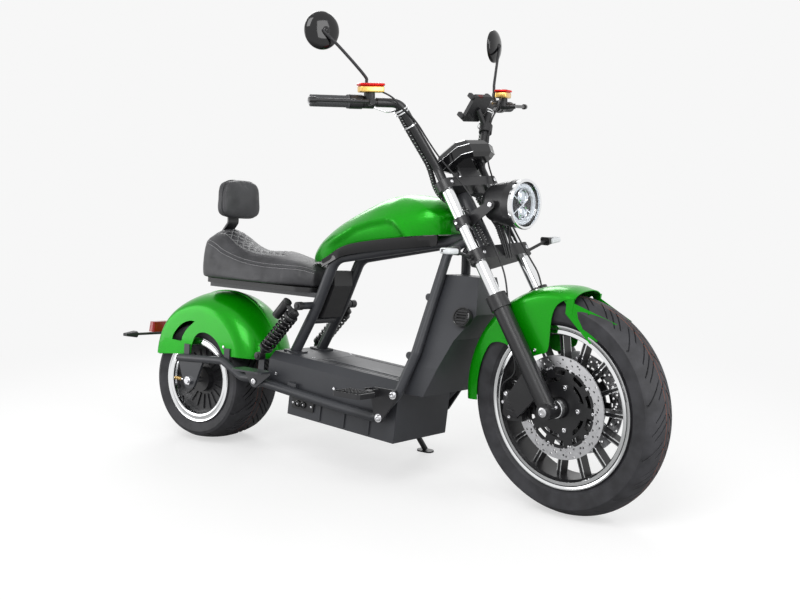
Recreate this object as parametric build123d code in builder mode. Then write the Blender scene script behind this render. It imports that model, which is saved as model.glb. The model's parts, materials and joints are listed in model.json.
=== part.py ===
# Electric chopper scooter, millimetres.
# Built upright in a vehicle frame: X forward, Y left, Z up, origin on the ground under the rear axle.
# The last section leans it onto its side stand, sets its lowest point on Z = 0 and writes the pieces.
from math import atan2, cos, degrees, radians, sin
import os

from build123d import *

os.makedirs("parts", exist_ok=True)

# Overall layout
WHEELBASE = 1435
RAKE = 32.5
STEER_OFFSET = 38
PARKED_LEAN = 6.0
PARKED_TURN = -10.0
CLEARANCE = 0.3

# Rear wheel, a 225/40-10 tyre on a hub motor
REAR_TYRE_RADIUS = 217
REAR_TYRE_WIDTH = 216
REAR_SEAT_RADIUS = 127
REAR_LIP_RADIUS = 150
REAR_RIM_WIDTH = 200
REAR_AXLE_RADIUS = 10
MOTOR_HALF = 62

# Front wheel, a 130 wide tyre on a 17 inch rim
FRONT_TYRE_RADIUS = 325
FRONT_TYRE_WIDTH = 128
FRONT_SEAT_RADIUS = 216
FRONT_LIP_RADIUS = 238
FRONT_RIM_WIDTH = 104
FRONT_AXLE_RADIUS = 12
SPOKES = 15
SPOKE_HALF = 7
DISC_RADIUS = 152
DISC_THICKNESS = 4
DISC_OFFSET = 47
CALIPER_OUTER = 76

# Fork, distances up from the front axle along the fork legs
LEG_OFFSET = 100
STANCHION_RADIUS = 18.5
SLIDER_RADIUS = 26
SLIDER_TOP = 370
LOWER_CLAMP = 480
UPPER_CLAMP = 725
CLAMP_THICKNESS = 38
UPPER_CLAMP_THICKNESS = 30
STEM_RADIUS = 14
HEAD_RADIUS = 27

# Frame tubes
TUBE_RADIUS = 18
LOWER_TUBE_RADIUS = 15
LOWER_TUBE_Y = 166
UPRIGHT_Y = 68
PIVOT_X = 358
PIVOT_Z = 265
ARM_RADIUS = 13.5
ARM_Y = 135.5
ARM_PLATE_Y = 140

# Deck and battery case, in the deck's own frame that slopes down to the front
DECK_FRONT_X = 926
DECK_FRONT_Z = 332
DECK_SLOPE = 3.9
CASE_HALF = 147
WALL = 3
LID_THICKNESS = 6
LID_HALF = 112
LID_REAR = 366
LID_FRONT = 36
CASE_REAR = 540
CASE_DEPTH = 112
BATTERY_CASE_REAR = 437
BATTERY_CASE_DEPTH = 80
CASE_RIBS = (100, 200, 300)

# Side stand, its pivot and where its foot lies on the ground
STAND_PIVOT = Vector(680, 196, 205)
STAND_FOOT_X = 742
STAND_FOOT_Y = 292
STAND_FOLDED = Vector(-1, 0.04, 0.02).normalized()
STAND_PIN_RADIUS = 6

# Seat, backrest and rear fender
PAN_BOTTOM = 572
SEAT_BOTTOM = 588
SEAT_HALF = 126
FENDER_HALF = 125
FENDER_RADIUS = 260
FENDER_SHEET = 3
FENDER_RIB = 3
FENDER_X = 45
FENDER_Z = 280

# Front fender, round the front axle
FRONT_FENDER_RADIUS = 350
FRONT_FENDER_HALF = 72.5

# Handlebar
BAR_RADIUS = 14
GRIP_BAR_RADIUS = 11
GRIP_RADIUS = 17
GRIP_LENGTH = 118

front_axle_point = Vector(WHEELBASE, 0, FRONT_TYRE_RADIUS)
rear_axle_point = Vector(0, 0, REAR_TYRE_RADIUS)
fork_up = Vector(-sin(radians(RAKE)), 0, cos(radians(RAKE)))
fork_ahead = Vector(cos(radians(RAKE)), 0, sin(radians(RAKE)))
finished = []


def turned_points(points, side):
    """Give a route its side of the vehicle."""
    return [(x, side * y, z) for x, y, z in points]


def fork_point(up, y=0, ahead=0):
    """Point at a distance up the fork legs, to the left and ahead of their common plane."""
    return front_axle_point + fork_up * up + fork_ahead * ahead + Vector(0, y, 0)


def fork_plane(up, y=0, ahead=0):
    """Plane square to the fork legs, its x forward and its y to the left."""
    return Plane(origin=fork_point(up, y, ahead), x_dir=fork_ahead, z_dir=fork_up)


def side_plane(y, x=0, z=0):
    """Plane of the right-hand side view at one distance to the left, its x forward and its y up."""
    return Plane(origin=(x, y, z), x_dir=(1, 0, 0), z_dir=(0, -1, 0))


def deck_plane(down=0, back=0):
    """Plane of the sloping deck, its x forward along the deck and its origin on the deck's front edge."""
    slope = radians(DECK_SLOPE)
    along = Vector(cos(slope), 0, -sin(slope))
    normal = Vector(sin(slope), 0, cos(slope))
    origin = Vector(DECK_FRONT_X, 0, DECK_FRONT_Z) - normal * down - along * back
    return Plane(origin=origin, x_dir=along, z_dir=normal)


def wheel_plane(centre):
    """Plane through an axle for turned profiles, its x along the axle and its y outward."""
    return Plane(origin=centre, x_dir=(0, 1, 0), z_dir=(1, 0, 0))


def tube(points, bend, radius):
    """Add a round tube along straight runs joined by tangent bends."""
    with BuildLine() as route:
        if len(points) > 2:
            FilletPolyline(*points, radius=bend)
        else:
            Polyline(*points)
    with BuildSketch(Plane(origin=route.line @ 0, z_dir=route.line % 0)) as section:
        Circle(radius)
    sweep(sections=section.sketch, path=route.line)


def rod(start, end, radius, mode=Mode.ADD):
    """Add or cut a straight round bar from one point to another."""
    start = Vector(start)
    run = Vector(end) - start
    with BuildSketch(Plane(origin=start, z_dir=run)) as section:
        Circle(radius)
    extrude(section.sketch, amount=run.length, mode=mode)


def cross_rod(x, z, half, radius, mode=Mode.ADD):
    """Add or cut a round bar across the vehicle, centred on its middle."""
    rod((x, -half, z), (x, half, z), radius, mode)


def finish(piece, name, turns=False):
    """Label a finished piece and note whether it turns with the fork."""
    piece.part.label = name
    finished.append((piece.part, turns))


# Rear tyre: flat tread, rounded shoulders and low walls over the rim's lips
with BuildPart() as rear_tyre:
    half = REAR_TYRE_WIDTH / 2
    bead = REAR_RIM_WIDTH / 2 - 6
    inner = REAR_SEAT_RADIUS + CLEARANCE
    with BuildSketch(wheel_plane(rear_axle_point)):
        with BuildLine():
            wall = REAR_LIP_RADIUS + 3
            Polyline((bead, wall), (bead, inner), (-bead, inner), (-bead, wall))
            for side in (1, -1):
                ThreePointArc(
                    (side * bead, wall),
                    (side * half, REAR_LIP_RADIUS + 26),
                    (side * (half - 5), REAR_TYRE_RADIUS - 26),
                )
                ThreePointArc(
                    (side * (half - 5), REAR_TYRE_RADIUS - 26),
                    (side * (half - 12), REAR_TYRE_RADIUS - 16),
                    (side * (half - 26), REAR_TYRE_RADIUS - 9.5),
                )
            shoulder = REAR_TYRE_RADIUS - 9.5
            ThreePointArc((-half + 26, shoulder), (0, REAR_TYRE_RADIUS), (half - 26, shoulder))
        make_face()
    revolve(axis=Axis(rear_axle_point, (0, 1, 0)))
finish(rear_tyre, "rear_tyre")

# Rear rim: a deep barrel with a flared lip each side
with BuildPart() as rear_rim:
    half = REAR_RIM_WIDTH / 2
    inner = REAR_SEAT_RADIUS - 5
    with BuildSketch(wheel_plane(rear_axle_point)):
        with BuildLine():
            Polyline(
                (-half, inner + 6), (-half + 14, inner), (half - 14, inner), (half, inner + 6),
                (half, REAR_LIP_RADIUS), (half - 4, REAR_LIP_RADIUS), (half - 5, REAR_SEAT_RADIUS),
                (-half + 5, REAR_SEAT_RADIUS), (-half + 4, REAR_LIP_RADIUS), (-half, REAR_LIP_RADIUS),
                close=True,
            )
        make_face()
    revolve(axis=Axis(rear_axle_point, (0, 1, 0)))
finish(rear_rim, "rear_rim")

# Hub motor: a ribbed drum that fills the barrel
with BuildPart() as hub_motor:
    drum = REAR_SEAT_RADIUS - 5 - CLEARANCE
    cross_rod(0, REAR_TYRE_RADIUS, MOTOR_HALF, drum)
    cross_rod(0, REAR_TYRE_RADIUS, MOTOR_HALF + 26, 44)
    for side in (1, -1):
        with BuildSketch(side_plane(side * MOTOR_HALF, z=REAR_TYRE_RADIUS)):
            with PolarLocations(82, 20):
                Rectangle(52, 6)
        extrude(amount=-side * 5)
    cross_rod(0, REAR_TYRE_RADIUS, 100, REAR_AXLE_RADIUS + CLEARANCE, Mode.SUBTRACT)
finish(hub_motor, "hub_motor")

# Rear axle with its nuts
with BuildPart() as rear_axle:
    cross_rod(0, REAR_TYRE_RADIUS, 156, REAR_AXLE_RADIUS)
    for side in (1, -1):
        with BuildSketch(side_plane(side * ARM_PLATE_Y, z=REAR_TYRE_RADIUS)):
            RegularPolygon(16, 6)
        extrude(amount=-side * 10)
finish(rear_axle, "rear_axle")

# Front tyre: a round crown on narrow walls
with BuildPart() as front_tyre:
    half = FRONT_TYRE_WIDTH / 2
    bead = FRONT_RIM_WIDTH / 2 - 6
    inner = FRONT_SEAT_RADIUS + CLEARANCE
    with BuildSketch(wheel_plane(front_axle_point)):
        with BuildLine():
            wall = FRONT_LIP_RADIUS + 3
            Polyline((bead, wall), (bead, inner), (-bead, inner), (-bead, wall))
            for side in (1, -1):
                ThreePointArc(
                    (side * bead, wall),
                    (side * (half - 2), FRONT_LIP_RADIUS + 28),
                    (side * half, FRONT_TYRE_RADIUS - 38),
                )
                ThreePointArc(
                    (side * half, FRONT_TYRE_RADIUS - 38),
                    (side * (half - 9), FRONT_TYRE_RADIUS - 22),
                    (side * (half - 26), FRONT_TYRE_RADIUS - 10),
                )
            shoulder = FRONT_TYRE_RADIUS - 10
            ThreePointArc((-half + 26, shoulder), (0, FRONT_TYRE_RADIUS), (half - 26, shoulder))
        make_face()
    revolve(axis=Axis(front_axle_point, (0, 1, 0)))
finish(front_tyre, "front_tyre", turns=True)

# Front rim: barrel, straight spokes and hub in one casting
with BuildPart() as front_rim:
    half = FRONT_RIM_WIDTH / 2
    inner = FRONT_SEAT_RADIUS - 5
    with BuildSketch(wheel_plane(front_axle_point)):
        with BuildLine():
            Polyline(
                (-half, inner + 6), (-half + 10, inner), (half - 10, inner), (half, inner + 6),
                (half, FRONT_LIP_RADIUS), (half - 4, FRONT_LIP_RADIUS), (half - 5, FRONT_SEAT_RADIUS),
                (-half + 5, FRONT_SEAT_RADIUS), (-half + 4, FRONT_LIP_RADIUS), (-half, FRONT_LIP_RADIUS),
                close=True,
            )
        make_face()
        with BuildLine():
            flange = DISC_OFFSET - DISC_THICKNESS / 2
            Polyline(
                (-LEG_OFFSET + 28, 0), (-LEG_OFFSET + 28, 22), (-flange, 30), (-flange, 58),
                (-flange + 9, 58), (-flange + 12, 34),
                (flange - 12, 34), (flange - 9, 58), (flange, 58), (flange, 30),
                (LEG_OFFSET - 28, 22), (LEG_OFFSET - 28, 0), close=True,
            )
        make_face()
    revolve(axis=Axis(front_axle_point, (0, 1, 0)))
    with BuildSketch(side_plane(0, WHEELBASE, FRONT_TYRE_RADIUS)):
        with PolarLocations(0, SPOKES):
            with BuildLine():
                Polyline(
                    (30, -SPOKE_HALF + 1), (30, SPOKE_HALF - 1),
                    (inner + 2, SPOKE_HALF), (inner + 2, -SPOKE_HALF), close=True,
                )
            make_face()
    extrude(amount=17, both=True)
    rod(fork_point(0, -LEG_OFFSET), fork_point(0, LEG_OFFSET), FRONT_AXLE_RADIUS + CLEARANCE, Mode.SUBTRACT)
finish(front_rim, "front_rim", turns=True)

# Attitude it parks in: forks turned, leaned to the left, both tyres on the ground
steer_plane = Plane(origin=front_axle_point - fork_ahead * STEER_OFFSET, x_dir=(0, 1, 0), z_dir=fork_up)
TURNED = steer_plane.location * Rot(0, 0, PARKED_TURN) * steer_plane.location.inverse()
LEANED = Rot(-PARKED_LEAN, 0, 0)
rear_low = (LEANED * rear_tyre.part).bounding_box().min.Z
front_low = (LEANED * TURNED * front_tyre.part).bounding_box().min.Z
PITCHED = Rot(0, degrees(atan2(front_low - rear_low, WHEELBASE)), 0) * LEANED
rear_low = (PITCHED * rear_tyre.part).bounding_box().min.Z
front_low = (PITCHED * TURNED * front_tyre.part).bounding_box().min.Z
ground_drop = min(rear_low, front_low)
GROUNDED = Pos(0, 0, -ground_drop) * PITCHED


def floor_below(x, y):
    """Point of the floor, in the vehicle frame, under a point of its ground plane."""
    low = (GROUNDED * Pos(x, y, 0)).position.Z
    rise = (GROUNDED * Pos(x, y, 1)).position.Z - low
    return Vector(x, y, -low / rise)


# Side stand's hinge axis: square to the change in the leg's direction as it folds
stand_foot = floor_below(STAND_FOOT_X, STAND_FOOT_Y)
stand_run = (stand_foot - STAND_PIVOT).normalized()
stand_change = (stand_run - STAND_FOLDED).normalized()
STAND_AXIS = (Vector(0, 1, 0) - stand_change * stand_change.Y).normalized()

# Brake discs: a braking ring on a carrier with a ring of windows, one each side of the hub
with BuildPart() as brake_discs:
    for side in (1, -1):
        with BuildSketch(side_plane(side * (DISC_OFFSET - DISC_THICKNESS / 2), WHEELBASE, FRONT_TYRE_RADIUS)):
            Circle(DISC_RADIUS)
            Circle(31, mode=Mode.SUBTRACT)
            with PolarLocations(103, 10):
                SlotOverall(36, 18, rotation=90, mode=Mode.SUBTRACT)
            with PolarLocations(71, 5):
                SlotOverall(40, 13, rotation=90, mode=Mode.SUBTRACT)
        extrude(amount=-side * DISC_THICKNESS)
finish(brake_discs, "brake_discs", turns=True)

# Front axle, carried in the feet of both fork legs
with BuildPart() as front_axle:
    rod(fork_point(0, -LEG_OFFSET - 30), fork_point(0, LEG_OFFSET + 30), FRONT_AXLE_RADIUS)
finish(front_axle, "front_axle", turns=True)

# Fork sliders: lower legs with a flared collar, an axle foot and lugs for the fender and the caliper
with BuildPart() as fork_sliders:
    for side in (1, -1):
        leg = side * LEG_OFFSET
        with BuildSketch(fork_plane(-6, leg)):
            Circle(SLIDER_RADIUS)
        extrude(amount=SLIDER_TOP - 24)
        with BuildSketch(fork_plane(SLIDER_TOP - 44, leg)):
            Circle(SLIDER_RADIUS + 5)
        extrude(amount=44)
        rod(fork_point(0, side * 74), fork_point(0, side * 126), 25)
        with BuildSketch(side_plane(side * CALIPER_OUTER)):
            with BuildLine():
                foot = fork_point(60)
                top = fork_point(150)
                Polyline(
                    (foot.X, foot.Z), (WHEELBASE - 122, FRONT_TYRE_RADIUS - 42),
                    (WHEELBASE - 160, FRONT_TYRE_RADIUS + 18), (top.X, top.Z), close=True,
                )
            make_face()
        extrude(amount=-side * 12)
        for up in (196, 236):
            rod(fork_point(up, side * FRONT_FENDER_HALF), fork_point(up, side * LEG_OFFSET), 11)
    bore = [fork_point(0, -LEG_OFFSET - 40), fork_point(0, LEG_OFFSET + 40)]
    rod(*bore, FRONT_AXLE_RADIUS + CLEARANCE, Mode.SUBTRACT)
finish(fork_sliders, "fork_sliders", turns=True)

# Fork stanchions: chromed tubes through both clamps
with BuildPart() as stanchions:
    for side in (1, -1):
        with BuildSketch(fork_plane(SLIDER_TOP, side * LEG_OFFSET)):
            Circle(STANCHION_RADIUS)
        extrude(amount=UPPER_CLAMP + UPPER_CLAMP_THICKNESS - SLIDER_TOP)
finish(stanchions, "stanchions", turns=True)


def clamp_outline(leg_radius, stem_radius):
    """Draw the outline of a fork clamp in its own plane: two eyes joined to the stem's boss."""
    for y in (-LEG_OFFSET, LEG_OFFSET):
        with Locations((0, y)):
            Circle(leg_radius)
    with Locations((-STEER_OFFSET, 0)):
        Circle(stem_radius)
    make_hull()


# Lower clamp with the steering stem
with BuildPart() as lower_clamp:
    with BuildSketch(fork_plane(LOWER_CLAMP)):
        clamp_outline(STANCHION_RADIUS + 11, 30)
    extrude(amount=CLAMP_THICKNESS)
    with BuildSketch(fork_plane(LOWER_CLAMP)):
        with Locations((0, -LEG_OFFSET), (0, LEG_OFFSET)):
            Circle(STANCHION_RADIUS + CLEARANCE)
    extrude(amount=CLAMP_THICKNESS, mode=Mode.SUBTRACT)
    with BuildSketch(fork_plane(LOWER_CLAMP, ahead=-STEER_OFFSET)):
        Circle(STEM_RADIUS)
    extrude(amount=UPPER_CLAMP - LOWER_CLAMP)
finish(lower_clamp, "lower_clamp", turns=True)

# Upper clamp with the post that carries the dash
with BuildPart() as upper_clamp:
    with BuildSketch(fork_plane(UPPER_CLAMP)):
        clamp_outline(STANCHION_RADIUS + 10, 27)
    extrude(amount=UPPER_CLAMP_THICKNESS)
    with BuildSketch(fork_plane(UPPER_CLAMP)):
        with Locations((0, -LEG_OFFSET), (0, LEG_OFFSET)):
            Circle(STANCHION_RADIUS + CLEARANCE)
    extrude(amount=UPPER_CLAMP_THICKNESS, mode=Mode.SUBTRACT)
    with BuildSketch(fork_plane(UPPER_CLAMP + UPPER_CLAMP_THICKNESS, ahead=12)):
        RectangleRounded(34, 90, 8)
    extrude(amount=34)
finish(upper_clamp, "upper_clamp", turns=True)


# Main frame: a loop of tube each side from the head, over the knees to the deck and under it to the pivot
TOP_ROUTE = [(424, UPRIGHT_Y, 357), (512, UPRIGHT_Y, 522), (583, UPRIGHT_Y, 694), (1078, 24, 790)]
LOWER_ROUTE = [
    (1072, 30, 786), (1012, 52, 742), (992, 92, 590), (975, 140, 430), (934, LOWER_TUBE_Y, 300),
    (860, LOWER_TUBE_Y, 216), (700, LOWER_TUBE_Y, 228), (PIVOT_X, LOWER_TUBE_Y, PIVOT_Z),
]
SHOCK_TOP = Vector(498, 140, 530)
SHOCK_FOOT = Vector(332, 140, 345)
SHOCK_PIN_RADIUS = 7
PEG_BOLTS = [(884, 222), (934, 300)]
CROSS_TUBES = [(975, 600, 90), (951, 420, 142), (488, 478, UPRIGHT_Y), (549, 612, UPRIGHT_Y)]
with BuildPart() as main_frame:
    for side in (1, -1):
        tube(turned_points(TOP_ROUTE, side), 60, TUBE_RADIUS)
        tube(turned_points(LOWER_ROUTE, side), 34, LOWER_TUBE_RADIUS)
        rod((PIVOT_X, side * (ARM_Y + 15), PIVOT_Z), (PIVOT_X, side * (LOWER_TUBE_Y + 16), PIVOT_Z), 21)
        with BuildSketch(deck_plane(back=CASE_REAR - 44)):
            with Locations((0, side * UPRIGHT_Y)):
                Rectangle(80, 60)
        extrude(amount=-30, mode=Mode.SUBTRACT)
        with BuildSketch(deck_plane(back=CASE_REAR - 44)):
            with Locations((0, side * UPRIGHT_Y)):
                RectangleRounded(64, 60, 8)
        extrude(amount=6)
        rod((SHOCK_TOP.X, side * UPRIGHT_Y, SHOCK_TOP.Z), (SHOCK_TOP.X, side * 126, SHOCK_TOP.Z), 12)
        rod((SHOCK_TOP.X, side * 120, SHOCK_TOP.Z), (SHOCK_TOP.X, side * 156, SHOCK_TOP.Z), SHOCK_PIN_RADIUS)
        for x, z in PEG_BOLTS:
            rod((x, side * LOWER_TUBE_Y, z), (x, side * 183, z), 10)
        for back, down in ((60, 96), (420, 100)):
            with BuildSketch(deck_plane(down=down, back=back)):
                with Locations((0, side * (CASE_HALF + 7))):
                    Rectangle(36, 14)
            extrude(amount=16)
        with BuildSketch(Plane.XY.offset(PAN_BOTTOM - 16)):
            with Locations((270, side * (UPRIGHT_Y - 8))):
                Rectangle(520, 14)
        extrude(amount=16)
    for x, z, half in CROSS_TUBES:
        cross_rod(x, z, half, 11.7)
    with BuildSketch(fork_plane(LOWER_CLAMP + CLAMP_THICKNESS + 1, ahead=-STEER_OFFSET)):
        Circle(HEAD_RADIUS)
    extrude(amount=UPPER_CLAMP - LOWER_CLAMP - CLAMP_THICKNESS - 2)
    cross_rod(PIVOT_X, PIVOT_Z, LOWER_TUBE_Y + 24, 9)
    cross_rod(PIVOT_X, PIVOT_Z, ARM_Y - 17, 16)
    rod(STAND_PIVOT - STAND_AXIS * 34, STAND_PIVOT - STAND_AXIS * 8, 13)
    rod(STAND_PIVOT - STAND_AXIS * 34, STAND_PIVOT + STAND_AXIS * 15, STAND_PIN_RADIUS)
    lug_foot = Vector(STAND_PIVOT.X, LOWER_TUBE_Y, STAND_PIVOT.Z + 2)
    rod(lug_foot, lug_foot + Vector(0, 0, 22), 12)
    with BuildSketch(fork_plane(LOWER_CLAMP + CLAMP_THICKNESS, ahead=-STEER_OFFSET)):
        Circle(STEM_RADIUS + 1)
    extrude(amount=UPPER_CLAMP - LOWER_CLAMP, mode=Mode.SUBTRACT)
finish(main_frame, "main_frame")

# Swing arm: an S-bent tube each side, a plate for the axle and tabs for the fender
with BuildPart() as swing_arm:
    for side in (1, -1):
        arm = [(PIVOT_X, ARM_Y, PIVOT_Z), (252, ARM_Y, 261), (158, ARM_Y, 306), (-64, ARM_Y, 292)]
        tube(turned_points(arm, side), 45, ARM_RADIUS)
        rod((PIVOT_X, side * (ARM_Y - 14), PIVOT_Z), (PIVOT_X, side * (ARM_Y + 14), PIVOT_Z), 20)
        with BuildSketch(side_plane(side * 130)):
            with Locations((0, REAR_TYRE_RADIUS)):
                Circle(30)
            with Locations((-48, 286), (48, 288)):
                Circle(12)
            make_hull()
        extrude(amount=-side * (ARM_PLATE_Y - 130))
        with BuildSketch(side_plane(side * 121.5)):
            with Locations((330, 268)):
                Circle(14)
            with Locations((SHOCK_FOOT.X, SHOCK_FOOT.Z)):
                Circle(12)
            make_hull()
        extrude(amount=-side * 6)
        pin_start = Vector(SHOCK_FOOT.X, side * 122, SHOCK_FOOT.Z)
        rod(pin_start, pin_start + Vector(0, side * 34, 0), SHOCK_PIN_RADIUS)
        for x, z in ((-31, 334), (168, 340)):
            with BuildSketch(side_plane(side * FENDER_HALF, x, z - 12)):
                Rectangle(26, 44)
            extrude(amount=-side * 5)
    cross_rod(262, 262, ARM_Y, 12)
    for side in (1, -1):
        bore = [(PIVOT_X, side * (ARM_Y - 16), PIVOT_Z), (PIVOT_X, side * (ARM_Y + 15), PIVOT_Z)]
        rod(*bore, 9 + CLEARANCE, Mode.SUBTRACT)
    cross_rod(0, REAR_TYRE_RADIUS, ARM_PLATE_Y + 2, REAR_AXLE_RADIUS + CLEARANCE, Mode.SUBTRACT)
finish(swing_arm, "swing_arm")

# Rear shocks: an eye at each end, a coil round the damper and a canister beside it
shock_run = SHOCK_TOP - SHOCK_FOOT
shock_up = Vector(shock_run.X, 0, shock_run.Z).normalized()
shock_length = shock_run.length
COILS = 8
COIL_PITCH = 17
COIL_START = 52
can_back = Vector(-shock_up.Z, 0, shock_up.X)
with BuildPart() as shocks:
    for side in (1, -1):
        foot = Vector(SHOCK_FOOT.X, side * SHOCK_FOOT.Y, SHOCK_FOOT.Z)
        top = Vector(SHOCK_TOP.X, side * SHOCK_TOP.Y, SHOCK_TOP.Z)
        with BuildSketch(Plane(origin=foot, x_dir=(0, 1, 0), z_dir=can_back * -1)):
            with BuildLine():
                wave = []
                for coil in range(COILS):
                    level = COIL_START + coil * COIL_PITCH
                    wave += [(25, level + 3), (25, level + 8), (18, level + COIL_PITCH - 3)]
                Polyline(
                    (0, 8), (8, 8), (8, 24), (13, 27), (13, COIL_START - 12), (24, COIL_START - 10),
                    (24, COIL_START - 2), (18, COIL_START), *wave, (24, 190), (24, 200), (15, 204), (15, 224),
                    (8, 227), (8, shock_length - 8), (0, shock_length - 8), close=True,
                )
            make_face()
        revolve(axis=Axis(foot, shock_up))
        for eye in (foot, top):
            rod(eye - Vector(0, 11, 0), eye + Vector(0, 11, 0), 14)
        can_foot = foot + shock_up * 150 + can_back * 45
        rod(can_foot, can_foot + shock_up * 76, 16)
        rod(can_foot + shock_up * 64, foot + shock_up * 214, 9)
        for eye in (foot, top):
            rod(eye - Vector(0, 12, 0), eye + Vector(0, 12, 0), SHOCK_PIN_RADIUS + CLEARANCE, Mode.SUBTRACT)
finish(shocks, "shocks")

# Rear fender: a crowned band with full sides, cut level above the swing arm and arched over the hub
with BuildPart() as rear_fender:
    fender_centre = Vector(FENDER_X, 0, FENDER_Z)
    shoulder = FENDER_RADIUS - 24
    with BuildSketch(wheel_plane(fender_centre)):
        with BuildLine():
            for sheet in (0, FENDER_SHEET):
                edge = FENDER_HALF - sheet
                for side in (1, -1):
                    Line((side * edge, 0), (side * edge, shoulder))
                ThreePointArc((-edge, shoulder), (0, FENDER_RADIUS - sheet), (edge, shoulder))
            for side in (1, -1):
                Line((side * FENDER_HALF, 0), (side * (FENDER_HALF - FENDER_SHEET), 0))
        make_face()
        with Locations((0, FENDER_RADIUS)):
            RectangleRounded(16, 2 * FENDER_RIB, 2)
    revolve(axis=Axis(fender_centre, (0, 1, 0)))
    with BuildSketch(side_plane(0)):
        with BuildLine():
            Polyline(
                (-240, 293), (-150, 300), (-96, 326), (6, 326), (6, 323), (340, 323), (340, 560), (-240, 560),
                close=True,
            )
        make_face()
        with Locations((84, 318)):
            Circle(64, mode=Mode.SUBTRACT)
    extrude(amount=FENDER_HALF + 5, both=True, mode=Mode.INTERSECT)
    with BuildSketch(side_plane(0)):
        with Locations((-62, 372)):
            SlotOverall(120, 20, rotation=32)
    extrude(amount=FENDER_HALF + 5, both=True, mode=Mode.SUBTRACT)
finish(rear_fender, "rear_fender")

# Tail light on an arm behind the fender, with a turn signal on a stalk each side
with BuildPart() as tail_bracket:
    with BuildSketch(Plane.XY.offset(346)):
        with Locations((-262, 0)):
            RectangleRounded(124, 44, 6)
    extrude(amount=8)
    for side in (1, -1):
        rod((-296, side * 18, 350), (-306, side * 128, 350), 5)
        rod((-306, side * 122, 350), (-306, side * 132, 350), 8)
    bore = [(FENDER_X, -40, FENDER_Z), (FENDER_X, 40, FENDER_Z)]
    rod(*bore, FENDER_RADIUS + FENDER_RIB + CLEARANCE, Mode.SUBTRACT)
finish(tail_bracket, "tail_bracket")
with BuildPart() as tail_light:
    with BuildSketch(Plane.XY.offset(354)):
        with Locations((-318, 0)):
            RectangleRounded(34, 92, 12)
    extrude(amount=38, taper=6)
finish(tail_light, "tail_light")
with BuildPart() as rear_signals:
    for side in (1, -1):
        with BuildSketch(Plane(origin=(-306, side * 132, 350), x_dir=(1, 0, 0), z_dir=(0, side, 0))):
            RectangleRounded(34, 24, 9)
        extrude(amount=48, taper=8)
finish(rear_signals, "rear_signals")

# Deck case: a closed sill round the battery's mouth, with a lid let into its top
with BuildPart() as deck_case:
    with BuildSketch(deck_plane(down=CASE_DEPTH)):
        with Locations((-CASE_REAR / 2, 0)):
            Rectangle(CASE_REAR, 2 * CASE_HALF)
    extrude(amount=CASE_DEPTH)
    top_edges = deck_case.edges().filter_by(lambda e: e.length > CASE_REAR - 1).sort_by(Axis.Z)[-2:]
    chamfer(top_edges, CASE_HALF - LID_HALF - 10)
    with BuildSketch(deck_plane(down=CASE_DEPTH - WALL)):
        with Locations((-CASE_REAR / 2, 0)):
            Rectangle(CASE_REAR - 2 * WALL, 2 * (CASE_HALF - WALL))
    extrude(amount=CASE_DEPTH - WALL - 34, mode=Mode.SUBTRACT)
    with BuildSketch(deck_plane(down=CASE_DEPTH)):
        with Locations((-BATTERY_CASE_REAR / 2, 0)):
            Rectangle(BATTERY_CASE_REAR - 2 * WALL, 2 * (CASE_HALF - WALL))
    extrude(amount=2 * WALL, mode=Mode.SUBTRACT)
    lid_middle = -(LID_REAR + LID_FRONT) / 2
    lid_length = LID_REAR - LID_FRONT
    with BuildSketch(deck_plane(down=40)):
        with Locations((lid_middle, 0)):
            Rectangle(lid_length - 16, 2 * LID_HALF - 16)
    extrude(amount=40, mode=Mode.SUBTRACT)
    with BuildSketch(deck_plane(down=LID_THICKNESS)):
        with Locations((lid_middle, 0)):
            Rectangle(lid_length + 2, 2 * LID_HALF + 2)
    extrude(amount=LID_THICKNESS, mode=Mode.SUBTRACT)
finish(deck_case, "deck_case")

# Deck lid: a ribbed foot plate hinged along its left edge
with BuildPart() as deck_lid:
    with BuildSketch(deck_plane(down=LID_THICKNESS)):
        with Locations((lid_middle, 0)):
            Rectangle(lid_length, 2 * LID_HALF)
    extrude(amount=LID_THICKNESS)
    with BuildSketch(deck_plane()):
        with Locations((lid_middle, 0)):
            with GridLocations(0, 22, 1, 9):
                Rectangle(lid_length - 40, 12)
    extrude(amount=2)
finish(deck_lid, "deck_lid")

# Battery case under the deck, with ribbed sides, and the battery in it
with BuildPart() as battery_case:
    with BuildSketch(deck_plane(down=CASE_DEPTH + BATTERY_CASE_DEPTH)):
        with Locations((-BATTERY_CASE_REAR / 2, 0)):
            Rectangle(BATTERY_CASE_REAR, 2 * CASE_HALF)
    extrude(amount=BATTERY_CASE_DEPTH)
    with BuildSketch(deck_plane(down=CASE_DEPTH + BATTERY_CASE_DEPTH - WALL)):
        with Locations((-BATTERY_CASE_REAR / 2, 0)):
            Rectangle(BATTERY_CASE_REAR - 2 * WALL, 2 * (CASE_HALF - WALL))
    extrude(amount=BATTERY_CASE_DEPTH, mode=Mode.SUBTRACT)
    with BuildSketch(deck_plane(down=CASE_DEPTH + BATTERY_CASE_DEPTH - 6)):
        for back in CASE_RIBS:
            with Locations((-back, -CASE_HALF), (-back, CASE_HALF)):
                Rectangle(9, 8)
        with Locations((-BATTERY_CASE_REAR / 2, 0)):
            Rectangle(BATTERY_CASE_REAR - WALL, 2 * (CASE_HALF - WALL), mode=Mode.SUBTRACT)
    extrude(amount=BATTERY_CASE_DEPTH - 12)
finish(battery_case, "battery_case")
with BuildPart() as battery_block:
    with BuildSketch(deck_plane(down=CASE_DEPTH + BATTERY_CASE_DEPTH - WALL)):
        with Locations((-BATTERY_CASE_REAR / 2, 0)):
            RectangleRounded(BATTERY_CASE_REAR - 34, 2 * CASE_HALF - 34, 8)
    extrude(amount=BATTERY_CASE_DEPTH + 42)
finish(battery_block, "battery_block")
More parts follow.
